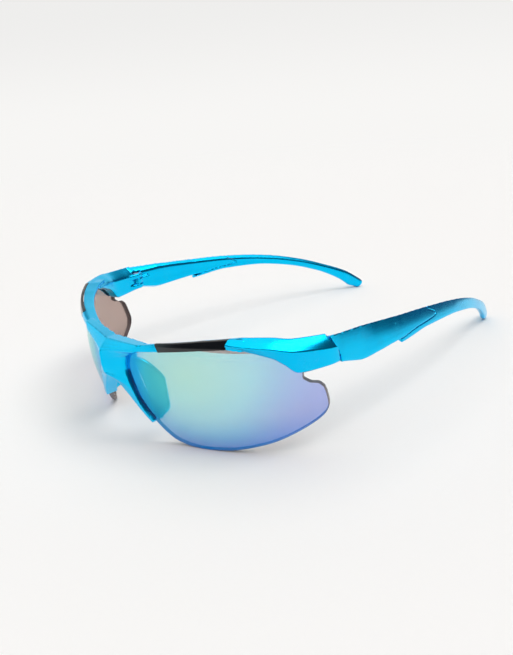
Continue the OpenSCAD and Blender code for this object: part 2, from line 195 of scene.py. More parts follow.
def along(points: Table, t: Array) -> Array:
    """Catmull-Rom curve: a cubic through each pair of points, with half the span of their neighbours as slope.

    Args:
        points: n points of any dimension.
        t: places on the curve, 0 at the first point and n - 1 at the last.
    Returns:
        One point for each t.
    """
    p = np.asarray(points, float)
    slope = np.empty_like(p)
    slope[0], slope[-1] = p[1] - p[0], p[-1] - p[-2]
    slope[1:-1] = (p[2:] - p[:-2]) / 2
    t = np.atleast_1d(np.asarray(t, float))
    i = np.clip(np.floor(t).astype(int), 0, len(p) - 2)
    s = (t - i)[:, None]
    return (p[i] * (2 * s**3 - 3 * s**2 + 1) + slope[i] * (s**3 - 2 * s**2 + s)
            + p[i + 1] * (3 * s**2 - 2 * s**3) + slope[i + 1] * (s**3 - s**2))


def smooth(points: Table, per: int) -> Array:
    """The curve of along() with per steps between each two points."""
    return along(points, np.linspace(0, len(points) - 1, per * (len(points) - 1) + 1))


def heading(points: Table, t: Array) -> Array:
    """Unit tangents of the curve of along(), from points a small step before and after each place.

    Args:
        points: the curve's points.
        t: places on the curve.
    Returns:
        One unit vector for each t.
    """
    step, last = 0.02, len(points) - 1
    d = along(points, np.minimum(last, t + step)) - along(points, np.maximum(0, t - step))
    return d / np.linalg.norm(d, axis=1, keepdims=True)


def even(outline: Array, count: int) -> Array:
    """A closed outline read again at even steps of its length.

    Args:
        outline: its points, shaped (m, dimension).
        count: how many points it gets.
    Returns:
        The points, shaped (count, dimension).
    """
    closed = np.vstack([outline, outline[:1]])
    run = np.concatenate([[0], np.cumsum(np.linalg.norm(np.diff(closed, axis=0), axis=1))])
    at = np.linspace(0, run[-1], count, endpoint=False)
    return np.stack([np.interp(at, run, closed[:, k]) for k in range(outline.shape[1])], 1)


def round_corners(rings: Array, radii: Sequence[float], steps: int = 5) -> Array:
    """Rounds the corners of many polygons at once, by quadratic arcs that leave each side a radius before it.

    Args:
        rings: polygons, shaped (n, corners, dimension).
        radii: one radius for each corner, cut to 0.45 of the shorter side.
        steps: points in each arc.
    Returns:
        Rings shaped (n, corners * steps, dimension).
    """
    before, after = np.roll(rings, 1, 1) - rings, np.roll(rings, -1, 1) - rings
    la = np.linalg.norm(before, axis=2, keepdims=True) + 1e-9
    lb = np.linalg.norm(after, axis=2, keepdims=True) + 1e-9
    r = np.minimum(np.asarray(radii, float)[None, :, None], 0.45 * np.minimum(la, lb))
    a, b = rings + before / la * r, rings + after / lb * r
    s = np.linspace(0, 1, steps)[None, None, :, None]
    arcs = a[:, :, None] * (1 - s)**2 + 2 * s * (1 - s) * rings[:, :, None] + b[:, :, None] * s**2
    return arcs.reshape(len(rings), -1, rings.shape[2])


def grid_quads(n: int, m: int, closed: bool) -> Array:
    """Four-sided faces of a grid of points.

    Args:
        n: how many rows it has.
        m: how many points each row has.
        closed: whether a row's last point meets its first.
    Returns:
        Vertex numbers, shaped (faces, 4).
    """
    i, j = np.meshgrid(np.arange(n - 1), np.arange(m if closed else m - 1), indexing="ij")
    k = (j + 1) % m
    return np.stack([i * m + j, i * m + k, (i + 1) * m + k, (i + 1) * m + j], -1).reshape(-1, 4)


@dataclass
class Surface:
    """A mesh in the making: vertices in millimetres, four- and three-sided faces, and a slot for each."""

    verts: Array
    quads: Array
    tris: Array
    quad_slot: Union[Array, None] = None
    tri_slot: Union[Array, None] = None

    @staticmethod
    def loft(rings: Array) -> "Surface":
        """Skin over closed rings, closed at each end by a fan to its middle, and with a positive volume.

        Args:
            rings: shaped (n, m, 3), ring after ring.
        Returns:
            The closed surface.
        """
        n, m = rings.shape[:2]
        verts = np.vstack([rings.reshape(-1, 3), rings[0].mean(0), rings[-1].mean(0)])
        j = np.arange(m)
        k = (j + 1) % m
        tris = np.vstack([np.stack([np.full(m, n * m), k, j], 1),
                          np.stack([np.full(m, n * m + 1), (n - 1) * m + j, (n - 1) * m + k], 1)])
        made = Surface(verts, grid_quads(n, m, True), tris)
        return made if made.volume() > 0 else made.turned()

    @staticmethod
    def prism(outline: Array, low: float, high: float, axes: str) -> "Surface":
        """A flat outline carried straight along one axis.

        Args:
            outline: corners, shaped (m, 2), in the first two of axes.
            low: where it starts on the third of axes.
            high: where it ends.
            axes: the order of the outline's two axes and the run, such as "yzx".
        Returns:
            The closed surface.
        """
        put = ["xyz".index(a) for a in axes]
        rings = np.zeros((2, len(outline), 3))
        rings[:, :, put[0]], rings[:, :, put[1]] = outline[:, 0], outline[:, 1]
        rings[0, :, put[2]], rings[1, :, put[2]] = low, high
        return Surface.loft(rings)

    @staticmethod
    def block(x: Pair, y: Pair, z: Pair) -> "Surface":
        """An upright box between a low and a high x, y and z."""
        corners = np.array([[x[0], y[0]], [x[1], y[0]], [x[1], y[1]], [x[0], y[1]]])
        return Surface.prism(corners, z[0], z[1], "xyz")

    @staticmethod
    def turning(profile: Table, steps: int = 48) -> "Surface":
        """A profile turned about the z axis, closed at its two ends.

        Args:
            profile: its corners as [radius, height].
            steps: points around.
        Returns:
            The closed surface.
        """
        p = np.asarray(profile, float)
        a = np.linspace(0, 2 * np.pi, steps, endpoint=False)
        rings = np.stack([np.outer(p[:, 0], np.cos(a)), np.outer(p[:, 0], np.sin(a)),
                          np.repeat(p[:, 1:2], steps, 1)], -1)
        return Surface.loft(rings)

    @staticmethod
    def rod(radius: float, low: float, high: float, steps: int = 48) -> "Surface":
        """A plain cylinder about the z axis."""
        return Surface.turning([(radius, low), (radius, high)], steps)

    @staticmethod
    def disc(radius: float, high: float, bevel: float = 0.2) -> "Surface":
        """A cylinder from height 0 up, with bevelled edges."""
        inner = radius - bevel
        return Surface.turning([(inner, 0), (radius, bevel), (radius, high - bevel), (inner, high)])

    def volume(self) -> float:
        """Volume by the divergence theorem.

        Returns:
            The sum of the faces' triple products over six.
        """
        t = np.vstack([self.quads[:, [0, 1, 2]], self.quads[:, [0, 2, 3]], self.tris])
        a, b, c = (self.verts[t[:, k]] for k in range(3))
        return float(np.einsum("ij,ij->i", a, np.cross(b, c)).sum() / 6)

    def turned(self) -> "Surface":
        """The same surface with every face the other way round."""
        return Surface(self.verts, self.quads[:, ::-1], self.tris[:, ::-1], self.quad_slot, self.tri_slot)

    def mirrored(self) -> "Surface":
        """The same surface on the other side of the mid-plane.

        Returns:
            The mirrored surface, its faces outwards again.
        """
        flipped = self.turned()
        flipped.verts = self.verts * [-1, 1, 1]
        return flipped

    def moved(self, by: Sequence[float]) -> "Surface":
        """The same surface, carried by a vector."""
        verts = self.verts + np.asarray(by, float)
        return Surface(verts, self.quads, self.tris, self.quad_slot, self.tri_slot)

    def object(self, name: str) -> bpy.types.Object:
        """Makes an object of the scene, still in millimetres from the sphere's centre.

        Args:
            name: its name and its mesh's name.
        Returns:
            The object, in the scene.
        """
        mesh = bpy.data.meshes.new(name)
        sizes = np.concatenate([np.full(len(self.quads), 4), np.full(len(self.tris), 3)])
        corners = np.concatenate([self.quads.ravel(), self.tris.ravel()])
        mesh.vertices.add(len(self.verts))
        mesh.vertices.foreach_set("co", self.verts.astype(np.float32).ravel())
        mesh.loops.add(len(corners))
        mesh.loops.foreach_set("vertex_index", corners.astype(np.int32))
        mesh.polygons.add(len(sizes))
        mesh.polygons.foreach_set("loop_start", np.concatenate([[0], np.cumsum(sizes)[:-1]]).astype(np.int32))
        if self.quad_slot is not None:
            slots = np.concatenate([self.quad_slot, self.tri_slot]).astype(np.int32)
            mesh.polygons.foreach_set("material_index", slots)
        mesh.update(calc_edges=True)
        mesh.validate()
        made = bpy.data.objects.new(name, mesh)
        bpy.context.scene.collection.objects.link(made)
        return made


class Side(Enum):
    """Which half of the sunglasses a piece belongs to; left and right are the wearer's."""

    LEFT = "left"
    RIGHT = "right"

    def place(self, surface: Surface) -> Surface:
        """A left-hand surface as this side has it."""
        return surface if self is Side.LEFT else surface.mirrored()


class Cut(Enum):
    """How one solid acts on another."""

    TAKE = "DIFFERENCE"
    KEEP = "INTERSECT"
    ADD = "UNION"


class Moulding:
    """One solid under work: solids are joined, cut, blended over their edges and finished as a piece."""

    def __init__(self, name: str, solids: Sequence[Surface]) -> None:
        """Starts from overlapping closed surfaces.

        Args:
            name: the piece's name.
            solids: its closed surfaces.
        """
        self.name = name
        self.obj = solids[0].object(name)
        for s in solids[1:]:
            self.act(Cut.ADD, s)

    def freeze(self) -> None:
        """Applies the modifiers by taking the evaluated mesh."""
        graph = bpy.context.evaluated_depsgraph_get()
        graph.update()
        fresh = bpy.data.meshes.new_from_object(self.obj.evaluated_get(graph))
        old = self.obj.data
        self.obj.modifiers.clear()
        self.obj.data = fresh
        bpy.data.meshes.remove(old)

    def act(self, how: Cut, other: "Union[Surface, Moulding]") -> None:
        """Joins, cuts or trims by another closed solid, which is used up.

        Args:
            how: what is done.
            other: the solid that does it.
        """
        tool = other.obj if isinstance(other, Moulding) else other.object(self.name + "_tool")
        modifier = self.obj.modifiers.new("act", "BOOLEAN")
        modifier.operation = how.value
        modifier.solver = "MANIFOLD"
        modifier.object = tool
        self.freeze()
        mesh = tool.data
        bpy.data.objects.remove(tool)
        bpy.data.meshes.remove(mesh)
        if not self.obj.data.polygons:
            raise RuntimeError(f"{self.name}: nothing is left after {how.name}")

    def blend(self, grain: float, passes: int) -> None:
        """Makes one even skin of small faces and relaxes it, which rounds every edge as a moulding has it.

        Args:
            grain: face size in millimetres.
            passes: how often each point moves half way to the middle of its neighbours.
        """
        remesh = self.obj.modifiers.new("skin", "REMESH")
        remesh.mode = "VOXEL"
        remesh.voxel_size = grain
        remesh.adaptivity = 0.0
        relax = self.obj.modifiers.new("relax", "SMOOTH")
        relax.factor = 0.5
        relax.iterations = passes
        self.freeze()

    def finish(self, body: str, nodes: Sequence[str], slot: str, materials: Sequence[Material],
               sharp: float = 38.0) -> bpy.types.Object:
        """Brings the piece to metres at the part's origin, shades it and ties it to its body.

        Args:
            body: the CAD body it moves with.
            nodes: the CAD nodes it stands for.
            slot: the name of a material slot; not used.
            materials: its materials, in the order of its faces' indices.
            sharp: angle in degrees past which an edge stays sharp.
        Returns:
            The finished object.
        """
        mesh = self.obj.data
        mesh.transform(Matrix.Scale(0.001, 4) @ Matrix.Translation((0, -SIZE.origin_y, 0)))
        mesh.shade_smooth()
        mesh.set_sharp_from_angle(angle=math.radians(sharp))
        index = np.zeros(len(mesh.polygons), np.int32)
        mesh.polygons.foreach_get("material_index", index)
        mesh.materials.clear()
        for m in materials:
            mesh.materials.append(m)
        mesh.polygons.foreach_set("material_index", np.minimum(index, len(materials) - 1))
        mesh.update()
        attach(self.obj, body)
        if nodes:
            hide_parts(*nodes)
        LOG.info("%s: %d faces on %s", self.name, len(mesh.polygons), body)
        return self.obj


# ---------------------------------------------------------------- shader tools


class Value:
    """A number in a shader. Arithmetic on it adds Math nodes."""

    def __init__(self, shader: "Shader", socket: Socket) -> None:
        """Wraps an output socket of a shader's node."""
        self.shader, self.socket = shader, socket

    def math(self, operation: str, *others: Number) -> "Value":
        """One Math node on this value and others."""
        made = self.shader.node("ShaderNodeMath", {"operation": operation}, (self, *others))
        return Value(self.shader, made.outputs[0])

    def __add__(self, other: Number) -> "Value":
        """Sum."""
        return self.math("ADD", other)

    __radd__ = __add__

    def __mul__(self, other: Number) -> "Value":
        """Product."""
        return self.math("MULTIPLY", other)

    __rmul__ = __mul__

    def __sub__(self, other: Number) -> "Value":
        """Difference."""
        return self.math("SUBTRACT", other)

    def __rsub__(self, other: float) -> "Value":
        """Difference from a number."""
        return (self * -1.0) + other

    def __truediv__(self, other: Number) -> "Value":
        """Quotient."""
        return self.math("DIVIDE", other)

    def __pow__(self, other: Number) -> "Value":
        """Power."""
        return self.math("POWER", other)

    def __abs__(self) -> "Value":
        """Size without sign."""
        return self.math("ABSOLUTE")

    def ramp(self, low: float, high: float) -> "Value":
        """A smooth step of this value.

        Args:
            low: where it leaves 0.
            high: where it reaches 1.
        Returns:
            The step, from 0 to 1.
        """
        made = self.shader.node("ShaderNodeMapRange", {"interpolation_type": "SMOOTHSTEP"},
                                {"Value": self, "From Min": low, "From Max": high})
        return Value(self.shader, made.outputs[0])


class Shader:
    """A material's node tree, built by plain calls."""

    def __init__(self, tree: bpy.types.NodeTree) -> None:
        """Starts an empty tree."""
        self.tree = tree
        tree.nodes.clear()

    def put(self, socket: Socket, given: object) -> None:
        """Sets an input socket.

        Args:
            socket: the input.
            given: a number, a colour, a Value, another node's output, or None to leave it.
        """
        if given is None:
            return
        if isinstance(given, Value):
            given = given.socket
        if isinstance(given, Socket):
            self.tree.links.new(given, socket)
        elif isinstance(given, tuple) and socket.type == "RGBA" and len(given) == 3:
            socket.default_value = (*given, 1.0)
        else:
            socket.default_value = given

    def node(self, kind: str, settings: dict[str, object] | None = None,
             inputs: dict[str, object] | Sequence[object] = ()) -> bpy.types.ShaderNode:
        """Adds any node.

        Args:
            kind: the node's type name.
            settings: its settings, set before its sockets; "stops" are a ramp's places and colours.
            inputs: values or links, by socket name or in order.
        Returns:
            The node.
        """
        made = self.tree.nodes.new(kind)
        for name, value in (settings or {}).items():
            if name == "stops":
                ramp = made.color_ramp
                while len(ramp.elements) < len(value):
                    ramp.elements.new(0.5)
                for element, (at, colour) in zip(ramp.elements, value):
                    element.position, element.color = at, (*colour, 1.0)
            else:
                setattr(made, name, value)
        pairs = inputs.items() if isinstance(inputs, dict) else enumerate(inputs)
        for name, value in pairs:
            self.put(made.inputs[name], value)
        return made

    def place(self, scale: float = 1000.0) -> Socket:
        """Object coordinates, by default in millimetres."""
        coordinates = self.node("ShaderNodeTexCoord")
        return self.node("ShaderNodeMapping", {}, {"Vector": coordinates.outputs["Object"],
                                                   "Scale": (scale, scale, scale)}).outputs[0]

    def parts(self, vector: Socket) -> tuple[Value, ...]:
        """The x, y and z of a vector."""
        made = self.node("ShaderNodeSeparateXYZ", {}, (vector,))
        return tuple(Value(self, output) for output in made.outputs)

    def gloss(self, inputs: dict[str, object]) -> Socket:
        """A principled surface with the inputs given."""
        return self.node("ShaderNodeBsdfPrincipled", {}, inputs).outputs[0]

    def noise(self, where: Socket, scale: float, detail: float = 3.0,
              rough: float = 0.5) -> Value:
        """Soft noise with scale in cycles per unit of where."""
        made = self.node("ShaderNodeTexNoise", {}, {"Vector": where, "Scale": scale, "Detail": detail,
                                                    "Roughness": rough})
        return Value(self, made.outputs["Fac"])

    def mix(self, share: Number, a: object, b: object, blend: str = "MIX") -> Socket:
        """A mix of two colours.

        Args:
            share: how much of the second one it takes.
            a: the first colour.
            b: the second colour.
            blend: how they are mixed.
        Returns:
            The mixed colour.
        """
        made = self.node("ShaderNodeMix", {"data_type": "RGBA", "blend_type": blend})
        self.put(made.inputs[0], share)
        self.put(made.inputs[6], a)
        self.put(made.inputs[7], b)
        return made.outputs[2]

    def bump(self, height: Value, depth: float, strength: float = 1.0) -> Socket:
        """A normal from a height, with depth in metres."""
        inputs = {"Height": height, "Distance": depth, "Strength": strength}
        return self.node("ShaderNodeBump", {}, inputs).outputs[0]

    def grazing(self) -> Value:
        """0 where the surface is seen straight on, 1 at its edge, as the fifth power of the facing share."""
        return Value(self, self.node("ShaderNodeLayerWeight", {}, {"Blend": 0.5}).outputs["Facing"]) ** 5.0

    def end(self, shader: Socket) -> None:
        """Sends a shader to the output."""
        self.node("ShaderNodeOutputMaterial", {}, {"Surface": shader})


def new_material(name: str) -> tuple[Material, Shader]:
    """Makes an empty node material.

    Args:
        name: its name.
    Returns:
        The material and its shader.
    """
    material = bpy.data.materials.new(name)
    material.use_nodes = True
    return material, Shader(material.node_tree)


# ---------------------------------------------------------------- finishes


@dataclass(frozen=True)
class BlueLacquer:
    """Metallic lacquer over moulded plastic: fine flake, a slight orange peel and faint handling marks."""

    tone: Colour = (0.0, 0.60, 1.0)
    deep: Colour = (0.0, 0.52, 0.95)
    spark: Colour = (0.05, 0.80, 1.0)
    rough: float = 0.20
    flake: float = 0.16
    peel: float = 0.9

    def build(self) -> Material:
        """Makes the material.

        Returns:
            The lacquer.
        """
        material, s = new_material("blue_lacquer")
        where = s.place()
        flakes = s.node("ShaderNodeTexVoronoi", {}, {"Vector": where, "Scale": 1 / self.flake})
        spark = Value(s, s.node("ShaderNodeSeparateColor", {}, (flakes.outputs["Color"],)).outputs[0])
        cloud = s.noise(where, 0.05, 2.0)
        tone = s.mix(cloud.ramp(0.35, 0.7) * 0.5, self.tone, self.deep)
        tone = s.mix(spark.ramp(0.75, 1.0) * 0.2, tone, self.spark)
        smudge = s.noise(where, 0.16, 4.0, 0.6).ramp(0.45, 0.75)
        rough = smudge * 0.06 + spark * 0.03 + self.rough
        height = s.noise(where, 1 / self.peel, 1.0) + spark * 0.05
        s.end(s.gloss({
            "Base Color": tone, "Metallic": 1.0, "Roughness": rough, "Coat Weight": smudge * 0.1 + 0.05,
            "Coat Roughness": 0.05, "Normal": s.bump(height, 0.000012, 0.6)}))
        return material


@dataclass(frozen=True)
class GlossBlack:
    """High-gloss black plastic with a faint green cast towards the nose."""

    rough: float = 0.07
    tone: Colour = (0.004, 0.0045, 0.005)
    nose_tone: Colour = (0.001, 0.022, 0.026)
    fade: Pair = (24.0, 34.0)

    def build(self) -> Material:
        """Makes the material.

        Returns:
            The black plastic.
        """
        material, s = new_material("gloss_black")
        where = s.place()
        x = abs(s.parts(where)[0])
        tone = s.mix(x.ramp(*self.fade), self.nose_tone, self.tone)
        smudge = s.noise(where, 0.3, 4.0, 0.6)
        s.end(s.gloss({
            "Base Color": tone, "Roughness": smudge.ramp(0.45, 0.8) * 0.08 + self.rough, "IOR": 1.5,
            "Coat Weight": 0.3, "Coat Roughness": 0.03,
            "Normal": s.bump(s.noise(where, 0.9, 1.0), 0.000008, 0.5)}))
        return material


@dataclass(frozen=True)
class MirrorLens:
    """Brown polycarbonate under an interference mirror, green in the middle and blue to violet at the rim."""

    share: float = 0.55
    glass_front: Colour = (0.96, 0.85, 0.81)
    glass_back: Colour = (0.95, 0.84, 0.80)
    middle: Pair = (0.46, 0.78)
    spread: Pair = (0.60, 0.84)
    rings: tuple = ((0.0, (0.17, 0.86, 0.78)), (0.30, (0.14, 0.84, 0.86)), (0.55, (0.08, 0.78, 0.97)),
                    (0.76, (0.0, 0.60, 1.0)), (1.0, (0.0, 0.36, 1.0)))
    outer_tone: Colour = (0.12, 0.34, 1.0)
    nasal_tone: Colour = (0.0, 0.45, 1.0)
    shadow_loss: float = 0.65

    def front(self) -> Material:
        """Makes the mirrored outer face: its tone goes in rings about a point in the lens's width and height.

        Returns:
            The material.
        """
        material, s = new_material("lens_mirror")
        where = s.place()
        x, _, z = s.parts(where)
        u = (abs(x) - SIZE.nasal_x) / SIZE.lens_w
        v = z / SIZE.lens_h
        drift = s.noise(where, 0.03, 1.0) * 0.08
        out = ((u - self.middle[0]) / self.spread[0]) ** 2.0
        down = ((v - self.middle[1]) / self.spread[1]) ** 2.0
        ring = (out + down).math("SQRT") * 1.12 + drift - 0.06
        tone = s.node("ShaderNodeValToRGB", {"stops": self.rings}, (ring,)).outputs[0]
        tone = s.mix((u - v * 0.2).ramp(0.60, 0.95) * 0.9, tone, self.outer_tone)
        tone = s.mix((0.20 - u).ramp(0.0, 0.15) * 0.9, tone, self.nasal_tone)
        haze = s.noise(where, 0.2, 4.0, 0.6).ramp(0.5, 0.8)
        mirror = s.gloss({
            "Base Color": tone, "Metallic": 1.0, "Roughness": haze * 0.03 + 0.02,
            "Normal": s.bump(s.noise(where, 0.12, 1.0), 0.00001, 0.3)})
        dim = s.gloss({
            "Base Color": s.mix(haze, (0.10, 0.075, 0.065), (0.14, 0.11, 0.10)), "Metallic": 1.0,
            "Roughness": 0.1})
        within = s.node("ShaderNodeNewGeometry").outputs["Backfacing"]
        coat = s.node("ShaderNodeMixShader", {}, (within, mirror, dim))
        clear = s.node("ShaderNodeBsdfTransparent", {}, (self.glass_front,))
        shade = 1 - Value(s, s.node("ShaderNodeLightPath").outputs["Is Shadow Ray"]) * self.shadow_loss
        coated = self.share + (1 - v.ramp(0.0, 0.45)) * 0.2 + (0.22 - u).ramp(0.0, 0.15) * 0.15
        much = (s.grazing() * (0.96 - coated) + coated) * shade
        s.end(s.node("ShaderNodeMixShader", {}, (much, clear.outputs[0], coat.outputs[0])).outputs[0])
        return material

    def back(self) -> Material:
        """Makes the brown inner face.

        Returns:
            The material.
        """
        material, s = new_material("lens_inner")
        where = s.place()
        haze = s.noise(where, 0.2, 4.0, 0.6).ramp(0.45, 0.8)
        gloss = s.gloss({"Base Color": (0.55, 0.50, 0.48), "Metallic": 1.0, "Roughness": haze * 0.08 + 0.04})
        clear = s.node("ShaderNodeBsdfTransparent", {}, (self.glass_back,)).outputs[0]
        share = s.grazing() * 0.5 + haze * 0.02 + 0.03
        s.end(s.node("ShaderNodeMixShader", {}, (share, clear, gloss)).outputs[0])
        return material

    def edge(self) -> Material:
        """Makes the ground, polished edge, which looks dark.

        Returns:
            The material.
        """
        material, s = new_material("lens_edge")
        where = s.place()
        grind = s.noise(where, 2.0, 3.0)
        s.end(s.gloss({
            "Base Color": s.mix(grind, (0.13, 0.11, 0.12), (0.21, 0.18, 0.18)),
            "Roughness": grind * 0.2 + 0.15}))
        return material


@dataclass(frozen=True)
class TurnedMetal:
    """Small turned hardware with fine rings about its own upright axis."""

    name: str
    tone: Colour
    worn: Colour
    rough: float = 0.28

    def build(self) -> Material:
        """Makes the material, with its rings about the hinge axis.

        Returns:
            The metal.
        """
        material, s = new_material(self.name)
        where = s.place()
        x, y, _ = s.parts(where)
        x = abs(x) - float(SIZE.hinge[0])
        y = y - float(SIZE.hinge[1] - SIZE.origin_y)
        ring = (x * x + y * y).math("SQRT")
        lines = (ring * 60.0).math("SINE") * 0.5 + 0.5
        stain = s.noise(where, 0.9, 4.0, 0.65)
        s.end(s.gloss({
            "Base Color": s.mix(stain.ramp(0.4, 0.75), self.tone, self.worn), "Metallic": 1.0,
            "Roughness": lines * 0.08 + stain * 0.12 + self.rough, "Normal": s.bump(lines, 0.00001, 0.4)}))
        return material


@dataclass(frozen=True)
class Paper:
    """The pale sweep the object stands on: matt paper that shows its own tone in the distance, with painted
    shade that darkens that tone up the wall.
    """

    tone: Colour = (0.93, 0.922, 0.908)
    # painted shade: a darker tone for the sweep where it rises into the wall
    wall_shade_tone: Colour = (0.86, 0.855, 0.845)
    # painted reflection: a dark tone that only mirrored rays see on one side of the sweep, standing in for a
    # dim room
    reflected_shade: Colour = (0.07, 0.10, 0.16)
    near: float = 0.20
    far: float = 0.75
    reflected_shade_way: Pair = (0.72, 0.58)
    reflected_shade_run: Pair = (0.16, 0.55)

    def build(self) -> Material:
        """Makes the material: a very fine tooth, and beyond a distance a shown tone for all but diffuse rays.

        Only mirrored rays see a painted dark reflection at one side, at distances in metres along its own
        direction.
        Returns:
            The paper.
        """
        material, s = new_material("paper_sweep")
        where = s.place()
        tooth = s.noise(where, 0.6, 3.0)
        matt = s.gloss({
            "Base Color": s.mix(tooth.ramp(0.3, 0.8) * 0.3, self.tone, tuple(c * 0.985 for c in self.tone)),
            "Roughness": 0.9, "Specular IOR Level": 0.1, "Normal": s.bump(tooth, 0.00002, 0.15)})
        place = s.place(1.0)
        away = Value(s, s.node("ShaderNodeVectorMath", {"operation": "LENGTH"}, (place,)).outputs["Value"])
        x, y, high = s.parts(place)
        # painted shade: the shown tone darkens as the sweep rises into the wall
        tone = s.mix(high.ramp(0.02, 0.25), self.tone, self.wall_shade_tone)
        path = s.node("ShaderNodeLightPath").outputs
        rays = ("Camera", "Glossy", "Transmission")
        camera, mirrored, through = (Value(s, path[f"Is {ray} Ray"]) for ray in rays)
        # painted reflection: the sweep turns dark on one side for mirrored rays only
        side = (x * self.reflected_shade_way[0] + y * self.reflected_shade_way[1]).ramp(*self.reflected_shade_run)
        tone = s.mix(side * mirrored, tone, self.reflected_shade)
        glow = s.node("ShaderNodeEmission", {}, {"Color": tone, "Strength": 1.0}).outputs[0]
        seen = (camera + mirrored + through).math("MINIMUM", 1.0)
        share = away.ramp(self.near, self.far) * seen
        s.end(s.node("ShaderNodeMixShader", {}, (share, matt, glow)).outputs[0])
        return material


# ---------------------------------------------------------------- lenses


# edge of a lens beside the nose, from the brow down: offset from the nasal edge and share of the height
NOSE_EDGE = ((1.9, 0.855), (0.6, 0.80), (0.6, 0.73), (1.6, 0.63), (3.1, 0.53), (4.7, 0.43), (6.9, 0.335),
             (9.9, 0.24))
# lower edge of the brow bar: share of the width and height from the brow level
BROW_LOW = ((0.08, -5.0), (0.15, -3.1), (0.33, -1.2), (0.44, -0.3), (0.56, 0.6), (0.68, 1.1), (0.77, -0.1),
            (0.85, -2.3), (0.92, -5.7))
# where the brow bar is highest, as a share of the width
BROW_PEAK = 0.68


def low_z(u: Array) -> Array:
    """Height of the brow bar's lower edge."""
    return SIZE.lens_h + pick(BROW_LOW, u)


def top_z(u: Array) -> Array:
    """Height of the brow bar's top edge, which falls again behind the inlay.

    Args:
        u: places across, as shares of the width.
    Returns:
        The heights.
    """
    u = np.asarray(u, float)
    rise = np.minimum(u, BROW_PEAK)
    level = low_z(rise) + SIZE.brow_h + SIZE.brow_grow * (rise - 0.15) / 0.53
    return level - 7 * np.maximum(0, u - 0.69)


def nose_x(z: Array) -> Array:
    """Across position of the lens's edge beside the nose at a height."""
    rows = np.asarray(NOSE_EDGE)[::-1]
    return SIZE.nasal_x + np.interp(np.asarray(z) / SIZE.lens_h, rows[:, 1], rows[:, 0])


